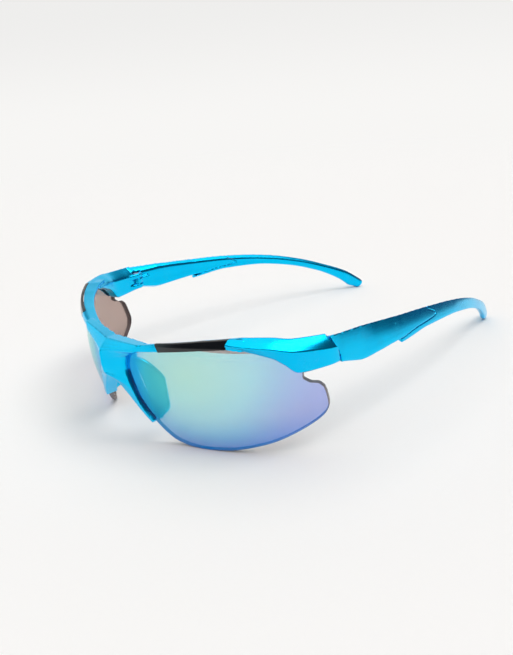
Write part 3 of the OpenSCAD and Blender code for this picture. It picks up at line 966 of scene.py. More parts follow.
@dataclass
class Lens:
    """One lens: a wall of two concentric spheres inside a free outline.

    The outline is set in the front view and carried back along the lens's own middle direction.
    """

    finish: MirrorLens
    lip: float = 0.8
    around: int = 420
    inward: int = 26
    roll: float = 0.22

    def outline(self, grow: float = 0.0) -> Array:
        """Edge of the front face in x and z.

        Args:
            grow: how far the edge is moved away from the lens's middle.
        Returns:
            The closed outline, shaped (m, 2).
        """
        s = SIZE
        h, zb = s.lens_h, s.lens_h

        def at(rows: Table, per: int) -> Array:
            """Smooth run through points given as shares of width and height."""
            return smooth([(float(s.sx(u)), h * v) for u, v in rows], per)

        nasal = smooth([(s.nasal_x + a - self.lip, h * b) for a, b in NOSE_EDGE], 3)
        chin = at([(0.205, 0.135), (0.255, 0.055), (0.335, 0.008)], 4)
        base = np.array([[s.sx(0.40), 0.0], [s.sx(0.48), 0.0]])
        cheek = at([(0.59, 0.013), (0.69, 0.052), (0.80, 0.115), (0.90, 0.215), (0.965, 0.31), (0.992, 0.39),
                    (1, 0.47), (1, 0.56)], 4)
        notch = smooth([(float(s.sx(u)), zb + z) for u, z in ((0.996, -15.8), (0.983, -14), (0.964, -13.3),
                                                             (0.943, -11.4))], 4)
        root = np.array([[s.sx(0.94), zb - 7.0]])
        u = np.array([0.925, 0.87, 0.78])
        tail = np.stack([s.sx(u), low_z(u) + np.where(u > 0.9, s.groove_d + 0.6, s.groove_d + 1)], 1)
        u = np.arange(0.68, 0.07, -0.12)
        brow = np.stack([s.sx(u), low_z(u) + s.groove_d], 1)
        edge = even(np.vstack([nasal, chin, base, cheek, notch, root, tail, brow]), self.around)
        if grow:
            away = edge - np.array([s.sx(0.5), h * 0.5])
            edge = edge + away / np.linalg.norm(away, axis=1, keepdims=True) * grow
        return edge

    def back_of(self, edge: Array, off: float) -> Array:
        """Points of the outline carried back to the sphere of radius R + off, along the middle direction.

        The step t solves |P + t d - C| = R + off, a quadratic, for the unit direction d.
        Args:
            edge: points in x and z.
            off: how far in front of the sphere they go.
        Returns:
            The points in space, shaped (m, 3).
        """
        s = SIZE
        mid = math.radians((s.wrap_in + s.wrap_out) / 2)
        d = np.array([-math.sin(mid), math.cos(mid), 0.0])
        p = np.column_stack([edge[:, 0], s.on_sphere(edge[:, 0], edge[:, 1], 0.0), edge[:, 1]])
        q = p - [s.cx, 0, s.cz]
        b = q @ d
        c = (q * q).sum(1) - (s.radius + off)**2
        root = np.sqrt(np.maximum(b * b - c, 0))
        t = -b - root
        return p + t[:, None] * d

    def surface(self, grow: float = 0.0, out: float = 0.0, inn: float = 0.0) -> Surface:
        """The closed lens: rings of the outline shrunk to its middle, on front, rolled edge and back.

        Args:
            grow: how much larger its outline is.
            out: how far its front face is moved forwards.
            inn: how far its back face is moved backwards.
        Returns:
            The surface, with slots 0 on the front, 1 on the back and 2 on the edge.
        """
        s = SIZE
        edge = self.outline(grow)
        heart = np.array([float(s.sx(0.5)), s.lens_h * 0.5])
        reach = np.linalg.norm(edge - heart, axis=1, keepdims=True)
        roll = self.roll
        offs = [out] * self.inward
        shares = [np.full_like(reach, k) for k in np.linspace(0.02, 1, self.inward, endpoint=False)]
        angles = np.radians([0, 30, 60, 90])
        deep = -s.lens_t - inn
        for level, way, run in ((out, -1, angles), (deep, 1, angles[::-1])):
            for a in run:
                shares.append(1 - roll * (1 - np.sin(a)) / reach)
                offs.append(level + way * roll * (1 - np.cos(a)))
        shares += [np.full_like(reach, k) for k in np.linspace(1, 0.02, self.inward + 1)[1:]]
        offs += [deep] * self.inward
        rings = np.stack([self.back_of(heart + (edge - heart) * k, o) for k, o in zip(shares, offs)])
        made = Surface.loft(rings)
        n, m = rings.shape[:2]
        row = np.repeat(np.arange(n - 1), m)
        first, last = self.inward + 1, self.inward + 6
        made.quad_slot = np.where(row < first, 0, np.where(row > last, 1, 2))
        made.tri_slot = np.concatenate([np.zeros(m), np.ones(m)])
        return made

    def build(self) -> None:
        """Both lenses."""
        materials = [self.finish.front(), self.finish.back(), self.finish.edge()]
        surface = self.surface()
        for side in Side:
            Moulding(f"{side.value}_mirror_lens", [side.place(surface)]).finish(
                "front", [f"{side.value}_lens"], "mirror_lens", materials, 50.0)


# ---------------------------------------------------------------- front frame


@dataclass
class BrowInlay:
    """Gloss black strip in the face of the brow bar, slanted at its nasal end."""

    finish: GlossBlack
    start: float = 0.31
    stop: float = 0.685

    def rings(self, play: float, out: float, over: float) -> Array:
        """Sections across the strip, from the nasal end outwards.

        Args:
            play: how much larger the strip is all round.
            out: how far its face is moved forwards.
            over: how far it runs past the bar's lower and top edges.
        Returns:
            Rings shaped (n, 4, 3).
        """
        s = SIZE
        u = np.linspace(self.start, self.stop, 33)
        zl, zt = low_z(u), top_z(u)
        share = np.linspace(1, 0, len(u))**6
        x_low = s.sx(u) + share * 0.9
        x_top = s.sx(u) - share * 0.016 * s.lens_w
        run = (x_top - x_low) / (zt - zl) * over
        x_low, x_top = x_low - run, x_top + run
        ends = np.zeros(len(u))
        ends[0], ends[-1] = -play, play
        x_low, x_top = x_low + ends, x_top + ends
        zl, zt = zl - over, zt + over
        f, b = s.brow_front + out, s.brow_front - s.inlay_t - play
        corner = [(x_low, f, zl), (x_top, f, zt), (x_top, b, zt), (x_low, b, zl)]
        return np.stack([np.stack([x, s.on_sphere(x, z, o), z], 1) for x, o, z in corner], 1)

    def build(self) -> None:
        """Both inlays."""
        material = self.finish.build()
        for side in Side:
            strip = Surface.loft(round_corners(self.rings(0, 0, 0), (0.25, 0.45, 0.1, 0.1), 5))
            Moulding(f"{side.value}_gloss_inlay", [side.place(strip)]).finish(
                "front", [f"{side.value}_brow_inlay"], "gloss_black", [material], 50.0)


@dataclass
class FrontFrame:
    """The front moulding: bridge, nose arms with wings, brow bars, end pieces and hinge lugs."""

    finish: BlueLacquer
    lens: Lens
    inlay: BrowInlay
    grain: float = 0.3
    passes: int = 4
    end_low: tuple = ((0, 2.0), (0.6, 0.7), (1, -0.2), (2, -3.2), (2.6, -6.2), (3.05, -9.4), (3.4, -9.8),
                      (5, -9.6))
    end_mid: tuple = ((0, 2.8), (1, 2.1), (2, 1.0), (3, -0.9), (4, -2.9), (5, -3.9))
    end_top: tuple = ((0, 3.4), (0.35, 4.4), (1, 4.5), (2, 3.9), (3, 2.7), (4, 1.6), (5, 1.4))
    end_out: tuple = ((0, 0.2), (0.35, 0.8), (1, 1.5), (2, 2.0), (3, 1.6), (4, 0.8), (5, 0))

    def arm_rows(self) -> Array:
        """Level sections of the bridge and a nose arm, from the top down.

        Returns:
            Rows of: height, offset across and stand of the inner front edge, the same of the outer one, and
            depth.
        """
        s = SIZE
        zb, h, k, n = s.lens_h, s.lens_h, s.keel, s.nasal_x
        arch = 0.66 * h
        top, low, tenth = float(s.sx(0.186)), float(s.sx(0.151)), float(s.sx(0.1))

        def at(z: float) -> float:
            """Lens edge at a height."""
            return float(nose_x(z))

        rows = [
            (zb - 1.5, 0, k - 3.0, zb - 0.2, top, s.brow_front + 0.7),
            (zb - 4.8, 0, k - 0.3, zb - 3.1, low, s.brow_front + 0.7),
            (zb - 5.5, 0, k, zb - 4.5, tenth, 1.8),
            (zb - 8.0, 0, k - 0.1, zb - 6.6, at(zb - 6.6) + 0.5, 1.4),
            (zb - 11, 0, k - 0.4, zb - 11, at(zb - 11), 1.25),
            (arch, 0, k - 0.9, zb - 15, at(zb - 15), 1.25),
            (arch - 0.8, 0.9, k - 1.2, 0.57 * h, at(0.57 * h), 1.25),
            (0.565 * h, n - 4.4, 2.6, 0.50 * h, at(0.50 * h), 1.25),
            (0.45 * h, n + 0.1, 1.5, 0.42 * h, at(0.42 * h), 1.25),
            (0.325 * h, n + 4.4, 1.25, 0.33 * h, at(0.33 * h), 1.25),
            (0.21 * h, n + 8.4, 1.2, 0.245 * h, at(0.245 * h), 1.2)]
        deep = [3.6, 3.6] + [s.bridge_d] * 7 + [s.bridge_d - 0.6] * 2
        return np.column_stack([np.array(rows), deep])

    def bridge(self) -> Surface:
        """Bridge and one nose arm: sections between the rows.

        Returns:
            The closed surface, whose inner side lies just over the mid-plane.
        """
        s = SIZE
        r = self.arm_rows()
        t = np.unique(np.concatenate([np.linspace(0, 3, 10), np.linspace(3, 10, 50)]))
        i = np.clip(np.floor(t).astype(int), 0, len(r) - 2)
        straight = r[i] + (r[i + 1] - r[i]) * (t - i)[:, None]
        p = np.where((t < 3)[:, None], straight, along(r, t))
        zi, xi, fi, zo, xo, fo, deep = p.T
        xi = np.where(t <= 5, -0.3, xi)
        a, b = s.on_sphere(xi, zi, 0) - fi, s.on_sphere(xo, zo, 0) - fo
        ring = np.stack([np.stack([xi, a, zi], 1), np.stack([xo, b, zo], 1), np.stack([xo, b + deep, zo], 1),
                         np.stack([xi, a + np.where(t < 2, s.bridge_d - 0.9, deep), zi], 1)], 1)
        return Surface.loft(ring)

    def brow_bar(self) -> Surface:
        """Bar along the top of a lens: a five-cornered section carried round the sphere.

        Returns:
            The closed surface.
        """
        s = SIZE
        u = np.linspace(0.11, 0.75, 60)
        x, zl, zt = s.sx(u), low_z(u), top_z(u)
        f, b = s.brow_front, -s.lens_t - s.brow_back
        corner = [(f, zl), (f, zt), (f - 1.4, zt), (b, zt - s.brow_roof), (b, zl)]
        rings = np.stack([np.stack([x, s.on_sphere(x, z, o), z], 1) for o, z in corner], 1)
        return Surface.loft(round_corners(rings, (0.3, 0.5, 0.8, 0.6, 0.4), 4))

    def end_body(self) -> Surface:
        """Faceted end piece: an eight-cornered section carried from the inlay's end to the hinge.

        Returns:
            The closed surface.
        """
        s = SIZE
        x = s.sx([0.66, 0.77, 0.86, 0.93])
        y = -np.sqrt(np.maximum(1, (s.radius + 0.3)**2 - (x - s.cx)**2))
        path = np.vstack([np.column_stack([x, y]), [s.half_w - 0.7, s.hinge[1] - 4.6],
                          [s.half_w, s.hinge[1] + 1.5]])
        t = np.linspace(0, len(path) - 1, 90)
        a, d = along(path, t), heading(path, t)
        n = np.column_stack([d[:, 1], -d[:, 0]])

        def read(table: Table) -> Array:
            """A table along the path, eased between its rows.

            Args:
                table: rows of a place on the path and a value.
            Returns:
                One value for each section.
            """
            rows = np.asarray(table, float)
            knots = np.interp(t, rows[:, 0], np.arange(len(rows)))
            return 0.5 * np.interp(t, rows[:, 0], rows[:, 1]) + 0.5 * along(rows[:, 1:], knots)[:, 0]

        o, zb = read(self.end_out), s.lens_h
        zl, zm, zt = zb + read(self.end_low), zb + read(self.end_mid), zb + read(self.end_top)
        w = s.end_deep * np.minimum(1, 0.35 + t * 0.9)
        section = [(-0.5 + o * 0.2, zl), (o, zm), ((o - w * 0.4) / 2 + 0.25, (zm + zt) / 2 + 0.15),
                   (-w * 0.4, zt), (-w * 0.8, zt - w * 0.36), (-w, zt - w * 0.6), (-w, zl + 0.6),
                   (-w + 0.6, zl)]
        rings = np.stack([np.column_stack([a[:, 0] + n[:, 0] * e, a[:, 1] + n[:, 1] * e, z])
                          for e, z in section], 1)
        return Surface.loft(round_corners(rings, (0.7, 0.2, 2.5, 0.7, 1.5, 1.0, 0.5, 0.5), 5))

    def wing(self) -> Surface:
        """Nose wing: a thin plate from the arm back to where it bears on the nose.

        Returns:
            The closed surface.
        """
        s = SIZE
        rows = np.array([[1.3, 0.80, 2.2, 9.3, 0.235, 4.4], [4.6, 0.76, 5.2, 9.7, 0.25, 6.6],
                         [7.6, 0.64, 8.6, 9.4, 0.27, 9.0], [8.6, 0.575, 9.8, 9.3, 0.30, 9.9]])
        r = along(rows, np.linspace(0, 3, 25))
        y0 = float(s.on_sphere(s.nasal_x + 2, s.lens_h - s.keel_drop, 0))
        a = np.column_stack([s.nasal_x + r[:, 0], y0 + r[:, 2], s.lens_h * r[:, 1]])
        b = np.column_stack([s.nasal_x + r[:, 3], y0 + r[:, 5], s.lens_h * r[:, 4]])
        deep = np.array([s.wing_t * 0.78, -s.wing_t * 0.62, 0])
        return Surface.loft(round_corners(np.stack([a, b, b - deep, a - deep], 1), (1.2, 0.6, 0.6, 1.2), 5))

    def lugs(self) -> list[Surface]:
        """The two hinge lugs with the roots that tie them to the end piece.

        Returns:
            Four closed surfaces.
        """
        s = SIZE
        x, y, z = s.hinge
        made = []
        wide, deep = (x - s.knuckle_r, x + s.hinge_root), (y - ROOT_RUN, y)
        for low in (z + s.knuckle_h / 2 + s.seam_gap / 2, s.lug_low):
            made.append(Surface.disc(s.knuckle_r, s.lug_h).moved((x, y, low)))
            made.append(Surface.block(wide, deep, (low, low + s.lug_h)))
        return made

    def end_piece(self) -> Moulding:
        """The left end piece, trimmed at the seam and cleared for the temple's knuckle.

        Returns:
            The solid.
        """
        s = SIZE
        x, y, z = s.hinge
        end = Moulding("end_work", [self.end_body()])
        end.act(Cut.TAKE, behind_seam(0.0))
        gap = s.knuckle_h + s.seam_gap
        end.act(Cut.TAKE, Surface.rod(s.knuckle_r + s.seam_gap, 0, gap).moved((x, y, z - gap / 2)))
        return end

    def drill(self) -> Surface:
        """The left hinge's bore, with the recess of the screw's head above and the nut's seat below.

        Returns:
            The closed surface.
        """
        s = SIZE
        x, y, _ = s.hinge
        bore, head, nut = s.screw_r + s.bore_play, s.screw_r + s.head_room, s.screw_r + s.nut_room
        over = 3
        profile = [(nut, s.lug_low - over), (nut, s.lug_low + s.nut_h), (bore, s.lug_low + s.nut_h),
                   (bore, s.lug_top - s.head_h), (head, s.lug_top - s.head_h), (head, s.lug_top + over)]
        return Surface.turning(profile, 40).moved((x, y, 0))

    def build(self) -> Material:
        """The whole front moulding.

        Returns:
            The lacquer, which the temples share.
        """
        material = self.finish.build()
        shell = Moulding("front_moulding", [self.bridge()])
        for part in [self.bridge().mirrored()] + [side.place(p) for side in Side
                                                  for p in [self.brow_bar(), self.wing(), *self.lugs()]]:
            shell.act(Cut.ADD, part)
        for side in Side:
            end = self.end_piece()
            if side is Side.RIGHT:
                flip(end.obj.data)
            shell.act(Cut.ADD, end)
        shell.blend(self.grain, self.passes)
        for side in Side:
            shell.act(Cut.TAKE, side.place(self.lens.surface(0.12, 0.04, 0.04)))
            shell.act(Cut.TAKE, side.place(Surface.loft(self.inlay.rings(0.05, 1.0, 3.0))))
            shell.act(Cut.TAKE, side.place(self.drill()))
        shell.finish("front", ["front_frame"], "blue_lacquer", [material], 42.0)
        return material


def flip(mesh: bpy.types.Mesh) -> None:
    """Mirrors a mesh over the mid-plane and turns its faces outwards again."""
    mesh.transform(Matrix.Scale(-1, 4, (1, 0, 0)))
    mesh.flip_normals()


# seam between end piece and temple in the side view: y from the hinge axis and z from the knuckle
SEAM = ((-4.6, 9.9), (-3.5, 5.9), (-2.3, 3.5), (-0.9, 1.1), (0.1, -1.9), (0.4, -4.3), (0.2, -8.1))
# how far the roots of lugs and knuckle reach from the hinge axis
ROOT_RUN = 6.5


def behind_seam(gap: float) -> Surface:
    """Everything behind the seam: the seam's curve closed far behind and carried across.

    Args:
        gap: how far it is moved back.
    Returns:
        The closed surface.
    """
    curve = smooth(SEAM, 6) + [gap, 0]
    low, high = curve[-1, 1], curve[0, 1]
    outline = np.vstack([curve, [[6, low], [6, -30], [90, -30], [90, 30], [6, 30], [6, high]]])
    return Surface.prism(outline + SIZE.hinge[1:], 0.0, SIZE.half_w + CLEAR, "yzx")


# ---------------------------------------------------------------- temples


@dataclass
class Temple:
    """One temple: an arm with the hinge's middle knuckle, and the tip moulding under and behind it."""

    lacquer: Material
    grain: float = 0.24
    passes: int = 3
    scarf_gap: float = 0.07
    driver_room: float = 0.65
    side_path: tuple = ((-0.05, 35.6), (0.09, 33.7), (0.25, 32.3), (0.40, 30.3), (0.56, 27.0), (0.71, 21.7),
                        (0.83, 15.3), (0.915, 9.4))
    upper_h: tuple = ((0, 6.9), (0.35, 6.5), (0.85, 6.5), (1, 6.5), (2, 4.9), (3, 4.1), (4, 3.1), (5, 2.4),
                      (6, 2.2), (7, 2.5), (8, 2.5), (9, 2.4))
    lower_h: tuple = ((0, 3.8), (0.5, 3.8), (0.98, 5.6), (1.1, 5.6), (2, 3.9), (3, 3.1), (4, 2.2), (5, 2.0),
                      (6, 2.1), (7, 3.0), (8, 3.6), (9, 2.6))
    inner_cut: tuple = ((0, 0.22), (4, 0.20), (6, 0.08), (9, 0))
    round_share: tuple = ((4, 0), (6, 0.6), (9, 1))
    crown: tuple = ((0, 2.9), (0.4, 2.5), (1.3, 1.7))
    scarf: tuple = ((2.03, -3.9), (2.5, -1.9), (3.25, 0.3), (3.03, 3.2))

    def line(self) -> Array:
        """Centre line, as the side view has it.

        Returns:
            Its points in y and z.
        """
        s = SIZE
        y = s.hinge[1]
        head = [(y + s.temple_len * a, b * s.lens_h / 41) for a, b in self.side_path]
        return np.array(head + [(y + s.temple_len * 0.96, s.tip_r + 2.3), (s.tip_y - s.tip_r, s.tip_r)])

    def out_x(self, y: Array) -> Array:
        """Outer face seen from above: a power curve that leaves the end piece straight."""
        s = SIZE
        return s.half_w - s.temple_in * (np.maximum(0, y - s.hinge[1]) / s.temple_len)**s.temple_bow

    def wall(self, y: Array) -> Array:
        """Thickness across, from the hinge to the tip."""
        s = SIZE
        return s.temple_t + (s.tip_t - s.temple_t) * np.maximum(0, y - s.hinge[1]) / s.temple_len

    def section(self, w: Array, hu: Array, hl: Array, cut: Array, e: Array, bar: Array) -> Array:
        """Sections of the temple: a flat inner wall and an outer face that is a quarter of an ellipse.

        The outer face stands upright at the bottom and leans in over the full height to a narrow crown.
        Towards the tip each section turns by a share into a superellipse. A smooth closed curve then runs over
        its corners.
        Args:
            w: thickness across, one for each section.
            hu: height above the centre line.
            hl: height below it.
            cut: how much less the inner wall reaches down, as a share.
            e: bevel along the inner top edge.
            bar: share of the superellipse.
        Returns:
            Sections shaped (n, points, 2), across and up.
        """
        lean = np.sin(np.radians([6, 20, 34, 48, 60, 70, 80]))
        angle = np.radians([-75, -55, -35, -10, 15, 40, 65, 85, 105, 135, 180, 225, 255])
        low = -hl * (1 - cut)
        fin = np.stack([np.stack([w / 2 - 0.6, -hl], -1)]
                       + [np.stack([-w / 2 + e + (w - e) * (1 - a**1.5), -hl + (hu + hl) * a], -1)
                          for a in lean]
                       + [np.stack(q, -1) for q in ((-w / 2 + e, hu), (-w / 2, hu - e), (-w / 2, 0 * w),
                                                    (-w / 2, low + 0.5), (-w / 2 + 0.5, low))], 1)
        c, d = np.cos(angle)[None, :], np.sin(angle)[None, :]
        oval = np.stack([np.sign(c) * np.abs(c)**0.7 * w[:, None] / 2,
                         np.sign(d) * np.abs(d)**0.8 * np.where(d < 0, hl[:, None], hu[:, None])], -1)
        p = fin * (1 - bar[:, None, None]) + oval * bar[:, None, None]
        before, after, next2 = np.roll(p, 1, 1), np.roll(p, -1, 1), np.roll(p, -2, 1)
        k = np.arange(6)[None, None, :, None] / 6
        p, before, after, next2 = (q[:, :, None, :] for q in (p, before, after, next2))
        curve = 0.5 * (2 * p + (after - before) * k + (2 * before - 5 * p + 4 * after - next2) * k**2
                       + (3 * p - before - 3 * after + next2) * k**3)
        return curve.reshape(len(w), -1, 2)

    def rings(self, t: Array, drop: Array, shrink: Array) -> Array:
        """Sections of the temple set square to the centre line.

        Args:
            t: places along the centre line.
            drop: how far each section is stretched downwards.
            shrink: 0 for a full section, towards 1 at the rounded end.
        Returns:
            Rings shaped (n, points, 3).
        """
        line = self.line()
        c, d = along(line, t), heading(line, t)
        hu, hl = pick(self.upper_h, t), pick(self.lower_h, t)
        s = np.sqrt(1 - shrink**2)
        c = c + d * (hl * shrink * 0.98)[:, None]
        w = self.wall(c[:, 0])
        q = self.section(w, hu, hl + drop, pick(self.inner_cut, t), pick(self.crown, t),
                         pick(self.round_share, t))
        q = q * s[:, None, None]
        u, v = q[..., 0], q[..., 1]
        y = c[:, :1] - d[:, 1:] * v
        z = c[:, 1:] + d[:, :1] * v
        return np.stack([self.out_x(y) - w[:, None] / 2 + u, y, z], -1)

    def scarf_line(self, shift: float) -> Array:
        """The joint between arm and tip in the side view.

        Args:
            shift: how far it is moved forwards.
        Returns:
            Its points in y and z.
        """
        line = self.line()
        points = np.array([along(line, a)[0] + [0, b] for a, b in self.scarf])
        return smooth(points, 6) + [-shift, 0]

    def arm(self) -> Moulding:
        """The left arm, trimmed at the seam and the scarf, with its knuckle and the room for the lugs.

        Returns:
            The solid.
        """
        s = SIZE
        x, y, z = s.hinge
        t = np.linspace(0, 3.6, 110)
        arm = Moulding("arm", [Surface.loft(self.rings(t, 0 * t, 0 * t))])
        cut = self.scarf_line(self.scarf_gap)
        front, under, over = y - CLEAR, z - 30, z + CLEAR
        outline = np.vstack([[[front, under], [cut[0, 0], under]], cut, [[cut[-1, 0], over], [front, over]]])
        arm.act(Cut.KEEP, Surface.prism(outline, 0, s.half_w + CLEAR, "yzx"))
        arm.act(Cut.KEEP, behind_seam(s.seam_gap))
        low = z - s.knuckle_h / 2
        arm.act(Cut.ADD, Surface.disc(s.knuckle_r, s.knuckle_h).moved((x, y, low)))
        neck = Surface.block((x - s.hinge_root, x + s.hinge_in - s.neck_wall), (y, y + ROOT_RUN),
                             (low, low + s.knuckle_h))
        arm.act(Cut.ADD, neck)
        wide, past = 8, 9
        for base, high in ((z + s.knuckle_h / 2, s.lug_h + s.seam_gap),
                           (z - s.knuckle_h / 2 - s.lug_h - past, s.lug_h + past)):
            arm.act(Cut.TAKE, Surface.rod(s.knuckle_r + s.seam_gap, 0, high, 64).moved((x, y, base)))
            arm.act(Cut.TAKE, Surface.block((x - wide, x + s.hinge_root + s.seam_gap), (y - wide, y),
                                            (base, base + high)))
        arm.act(Cut.TAKE, Surface.rod(s.screw_r + self.driver_room, 0, 14, 40).moved((x, y, z + 2)))
        arm.blend(self.grain, self.passes)
        arm.act(Cut.TAKE, Surface.rod(s.screw_r + s.bore_play, -past, past, 40).moved((x, y, z)))
        return arm

    def tip(self) -> Moulding:
        """The left tip: a lower step at its front, then a plain bar that bends down to a round end.

        Returns:
            The solid.
        """
        t = np.linspace(1.8, 8.8, 200)
        ease = np.clip(t - 2, 0, 1)
        drop = SIZE.tip_step * (1 - ease * ease * (3 - 2 * ease))
        body = self.rings(t, drop, 0 * t)
        last = float(len(self.line()) - 1)
        a = np.radians([0, 12, 25, 35, 45, 54, 62, 70, 76])
        end = self.rings(np.full(len(a), last), 0 * a, np.sin(a))
        tip = Moulding("tip", [Surface.loft(np.concatenate([body, end]))])
        cut = self.scarf_line(-self.scarf_gap)
        z = SIZE.hinge[2]
        far, under, over = SIZE.tip_y + 9, -9, z + CLEAR
        outline = np.vstack([[[cut[0, 0], under]], cut, [[cut[-1, 0], over], [far, over], [far, under]]])
        tip.act(Cut.KEEP, Surface.prism(outline, 0, SIZE.half_w + CLEAR, "yzx"))
        tip.blend(self.grain, self.passes)
        return tip

    def build(self) -> None:
        """Both temples."""
        for side in Side:
            for made, name, node in ((self.arm(), "temple_arm", "temple"), (self.tip(), "ear_tip", "tip")):
                if side is Side.RIGHT:
                    flip(made.obj.data)
                made.name = made.obj.name = f"{side.value}_{name}"
                made.finish(f"{side.value}_temple_body", [f"{side.value}_{node}"], "blue_lacquer",
                            [self.lacquer], 45.0)


# ---------------------------------------------------------------- hinge hardware


@dataclass
class HingeHardware:
    """Hinge screw with a crossed recess in its head, and the brass nut at its end."""

    steel: TurnedMetal
    brass: TurnedMetal
    slot_long: float = 0.8
    slot_wide: float = 0.16
    slot_deep: float = 0.45
    flutes: int = 24
    flute: float = 0.03
    bevel: float = 0.12

    def screw(self, side: Side) -> Moulding:
        """One screw: its profile turned about the axis, with two slots across the head.

        Args:
            side: the hinge it is for.
        Returns:
            The solid.
        """
        s = SIZE
        x, y, _ = s.hinge
        top, low = s.lug_top, s.lug_low + 0.2
        r, h = s.head_r, s.head_h
        made = Surface.turning([(s.screw_r - 0.15, low), (s.screw_r, low + 0.15), (s.screw_r, top - h),
                                (r, top - h), (r, top - 0.22), (r - 0.1, top - 0.08), (r - 0.3, top)], 56)
        screw = Moulding(f"{side.value}_screw", [side.place(made.moved((x, y, 0)))])
        for wide, long in ((self.slot_wide, self.slot_long), (self.slot_long, self.slot_wide)):
            slot = Surface.block((x - wide, x + wide), (y - long, y + long), (top - self.slot_deep, top + 1))
            screw.act(Cut.TAKE, side.place(slot))
        return screw

    def nut(self, side: Side) -> Moulding:
        """One nut: a ring with fine upright flutes, a small cosine wave on its radius, and a plain bore.

        Args:
            side: the hinge it is for.
        Returns:
            The solid.
        """
        s = SIZE
        x, y, _ = s.hinge
        low, b = s.lug_low, self.bevel
        r = s.screw_r + s.nut_wall
        a = np.linspace(0, 2 * np.pi, 192, endpoint=False)
        heights = [(low, -b), (low + b, 0), (low + s.nut_h - b, 0), (low + s.nut_h, -b)]
        wave = self.flute * np.cos(self.flutes * a)
        rings = np.stack([np.stack([(r + d + wave) * np.cos(a), (r + d + wave) * np.sin(a),
                                    np.full_like(a, h)], 1) for h, d in heights])
        nut = Moulding(f"{side.value}_nut", [side.place(Surface.loft(rings).moved((x, y, 0)))])
        bore = s.screw_r + 0.02
        nut.act(Cut.TAKE, side.place(Surface.rod(bore, low - 1, low + 3).moved((x, y, 0))))
        return nut

    def build(self) -> None:
        """Screws and nuts of both hinges."""
        steel, brass = self.steel.build(), self.brass.build()
        for side in Side:
            self.screw(side).finish("front", [f"{side.value}_hinge_screw"], "steel", [steel], 35.0)
            self.nut(side).finish("front", [f"{side.value}_hinge_nut"], "brass", [brass], 35.0)


# ---------------------------------------------------------------- setting


def stand(name: str, data: bpy.types.ID, axes: Sequence[Array],
          at: Sequence[float] = (0, 0, 0)) -> bpy.types.Object:
    """Puts a camera or a lamp into the scene.

    Args:
        name: its name.
        data: its camera or light data.
        axes: its own x, y and z directions.
        at: where it is, in metres.
    Returns:
        The object.
    """
    made = bpy.data.objects.new(name, data)
    place = Matrix.Identity(4)
    for k, axis in enumerate((*axes, at)):
        place.col[k][:3] = tuple(axis)
    made.matrix_world = place
    bpy.context.scene.collection.objects.link(made)
    return made


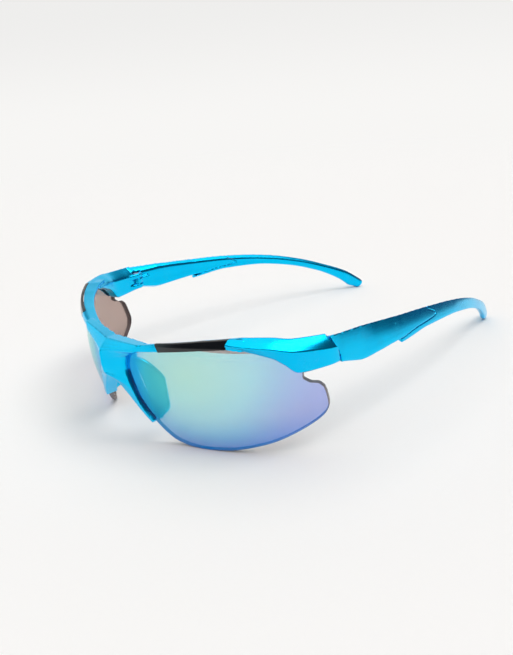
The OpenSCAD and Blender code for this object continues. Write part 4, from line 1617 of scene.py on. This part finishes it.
@dataclass
class Setting:
    """Paper sweep, soft light and camera."""

    paper: Paper
    eye: Colour = (0.21094, -0.18972, 0.12914)
    azimuth: float = 51.14
    elevation: float = 21.83
    roll: float = -5.02
    lens_mm: float = 37.12
    sensor_mm: float = 36.0
    warm: Colour = (1.0, 0.98, 0.955)

    def camera(self) -> None:
        """Camera that looks at the object from its front left, turned a little about its own axis."""
        a, e, r = (math.radians(k) for k in (self.azimuth, self.elevation, self.roll))
        back = np.array([math.sin(a) * math.cos(e), -math.cos(a) * math.cos(e), math.sin(e)])
        right = np.cross(-back, [0, 0, 1])
        right /= np.linalg.norm(right)
        up = np.cross(right, -back)
        turned = math.cos(r) * right + math.sin(r) * up
        raised = -math.sin(r) * right + math.cos(r) * up
        data = bpy.data.cameras.new("camera")
        data.lens, data.sensor_width = self.lens_mm, self.sensor_mm
        data.clip_start, data.clip_end = 0.005, 50.0
        bpy.context.scene.camera = stand("camera", data, (turned, raised, back), self.eye)

    def sweep(self) -> None:
        """Floor that turns up into a wall behind: a profile of line, arc and line carried across the view."""
        a = math.radians(self.azimuth - 14)
        away = np.array([-math.sin(a), math.cos(a), 0])
        across = np.array([math.cos(a), math.sin(a), 0])
        reach, bend, height = 0.80, 0.35, 0.6
        arc = np.linspace(0, np.pi / 2, 25)
        d = np.concatenate([np.linspace(-2.5, reach, 14)[:-1], reach + bend * np.sin(arc), [reach + bend]])
        z = np.concatenate([np.zeros(13), bend * (1 - np.cos(arc)), [height]])
        w = np.linspace(-3, 3, 13)
        grid = d[:, None, None] * away + w[None, :, None] * across + z[:, None, None] * np.array([0, 0, 1.0])
        n, m = grid.shape[:2]
        surface = Surface(grid.reshape(-1, 3), grid_quads(n, m, False), np.zeros((0, 3), int))
        floor = surface.object("paper_sweep")
        floor.data.shade_smooth()
        floor.data.materials.append(self.paper.build())

    def lamp(self, name: str, energy: float, spread: float, high: float, turn: float) -> None:
        """One round soft light far away.

        Args:
            name: its name.
            energy: its strength on a surface that faces it.
            spread: how wide it looks, in degrees.
            high: its height over the horizon in degrees.
            turn: its direction in degrees from the x axis.
        """
        data = bpy.data.lights.new(name, "SUN")
        data.energy, data.angle, data.color = energy, math.radians(spread), self.warm
        up, way = math.radians(high), math.radians(turn)
        aim = np.array([math.cos(up) * math.cos(way), math.cos(up) * math.sin(way), math.sin(up)])
        side = np.cross([0, 1, 0], aim)
        side /= np.linalg.norm(side)
        stand(name, data, (side, np.cross(aim, side), aim))

    def light(self) -> None:
        """A very wide soft lamp overhead, and a room that is pale behind and dim elsewhere.

        The room's level is read from the direction: a pale band low on the far side, dark elsewhere.
        """
        self.lamp("soft_roof", energy=1.90, spread=96, high=84, turn=-20)
        self.lamp("key", energy=0.80, spread=30, high=60, turn=37)
        world = bpy.data.worlds.new("room")
        world.use_nodes = True
        bpy.context.scene.world = world
        s = Shader(world.node_tree)
        way = s.node("ShaderNodeTexCoord").outputs["Generated"]
        x, y, z = s.parts(way)
        a = math.radians(self.azimuth + 30)
        far = (y * math.cos(a) - x * math.sin(a)).ramp(-0.1, 0.5)
        low = 1 - z.ramp(0.35, 0.8)
        level = far * low * 0.9 + 0.12
        tint = s.mix(level.ramp(0.12, 0.6), (0.70, 0.80, 1.0), (1.0, 0.98, 0.95))
        dim = s.node("ShaderNodeBackground", {}, {"Color": tint, "Strength": level})
        s.node("ShaderNodeOutputWorld", {}, {"Surface": dim.outputs[0]})

    def build(self) -> None:
        """All of the setting."""
        self.camera()
        self.sweep()
        self.light()
        bpy.context.scene.view_settings.view_transform = "Standard"


def main() -> None:
    """Builds every sub-assembly in order."""
    logging.basicConfig(level=logging.INFO, format="%(name)s %(message)s")
    lens = Lens(MirrorLens())
    inlay = BrowInlay(GlossBlack())
    lens.build()
    inlay.build()
    lacquer = FrontFrame(BlueLacquer(), lens, inlay).build()
    Temple(lacquer).build()
    HingeHardware(TurnedMetal("screw_steel", (0.60, 0.60, 0.62), (0.42, 0.42, 0.44)),
                  TurnedMetal("nut_brass", (0.72, 0.55, 0.25), (0.48, 0.34, 0.14))).build()
    Setting(Paper()).build()


if __name__ == "__main__":
    main()
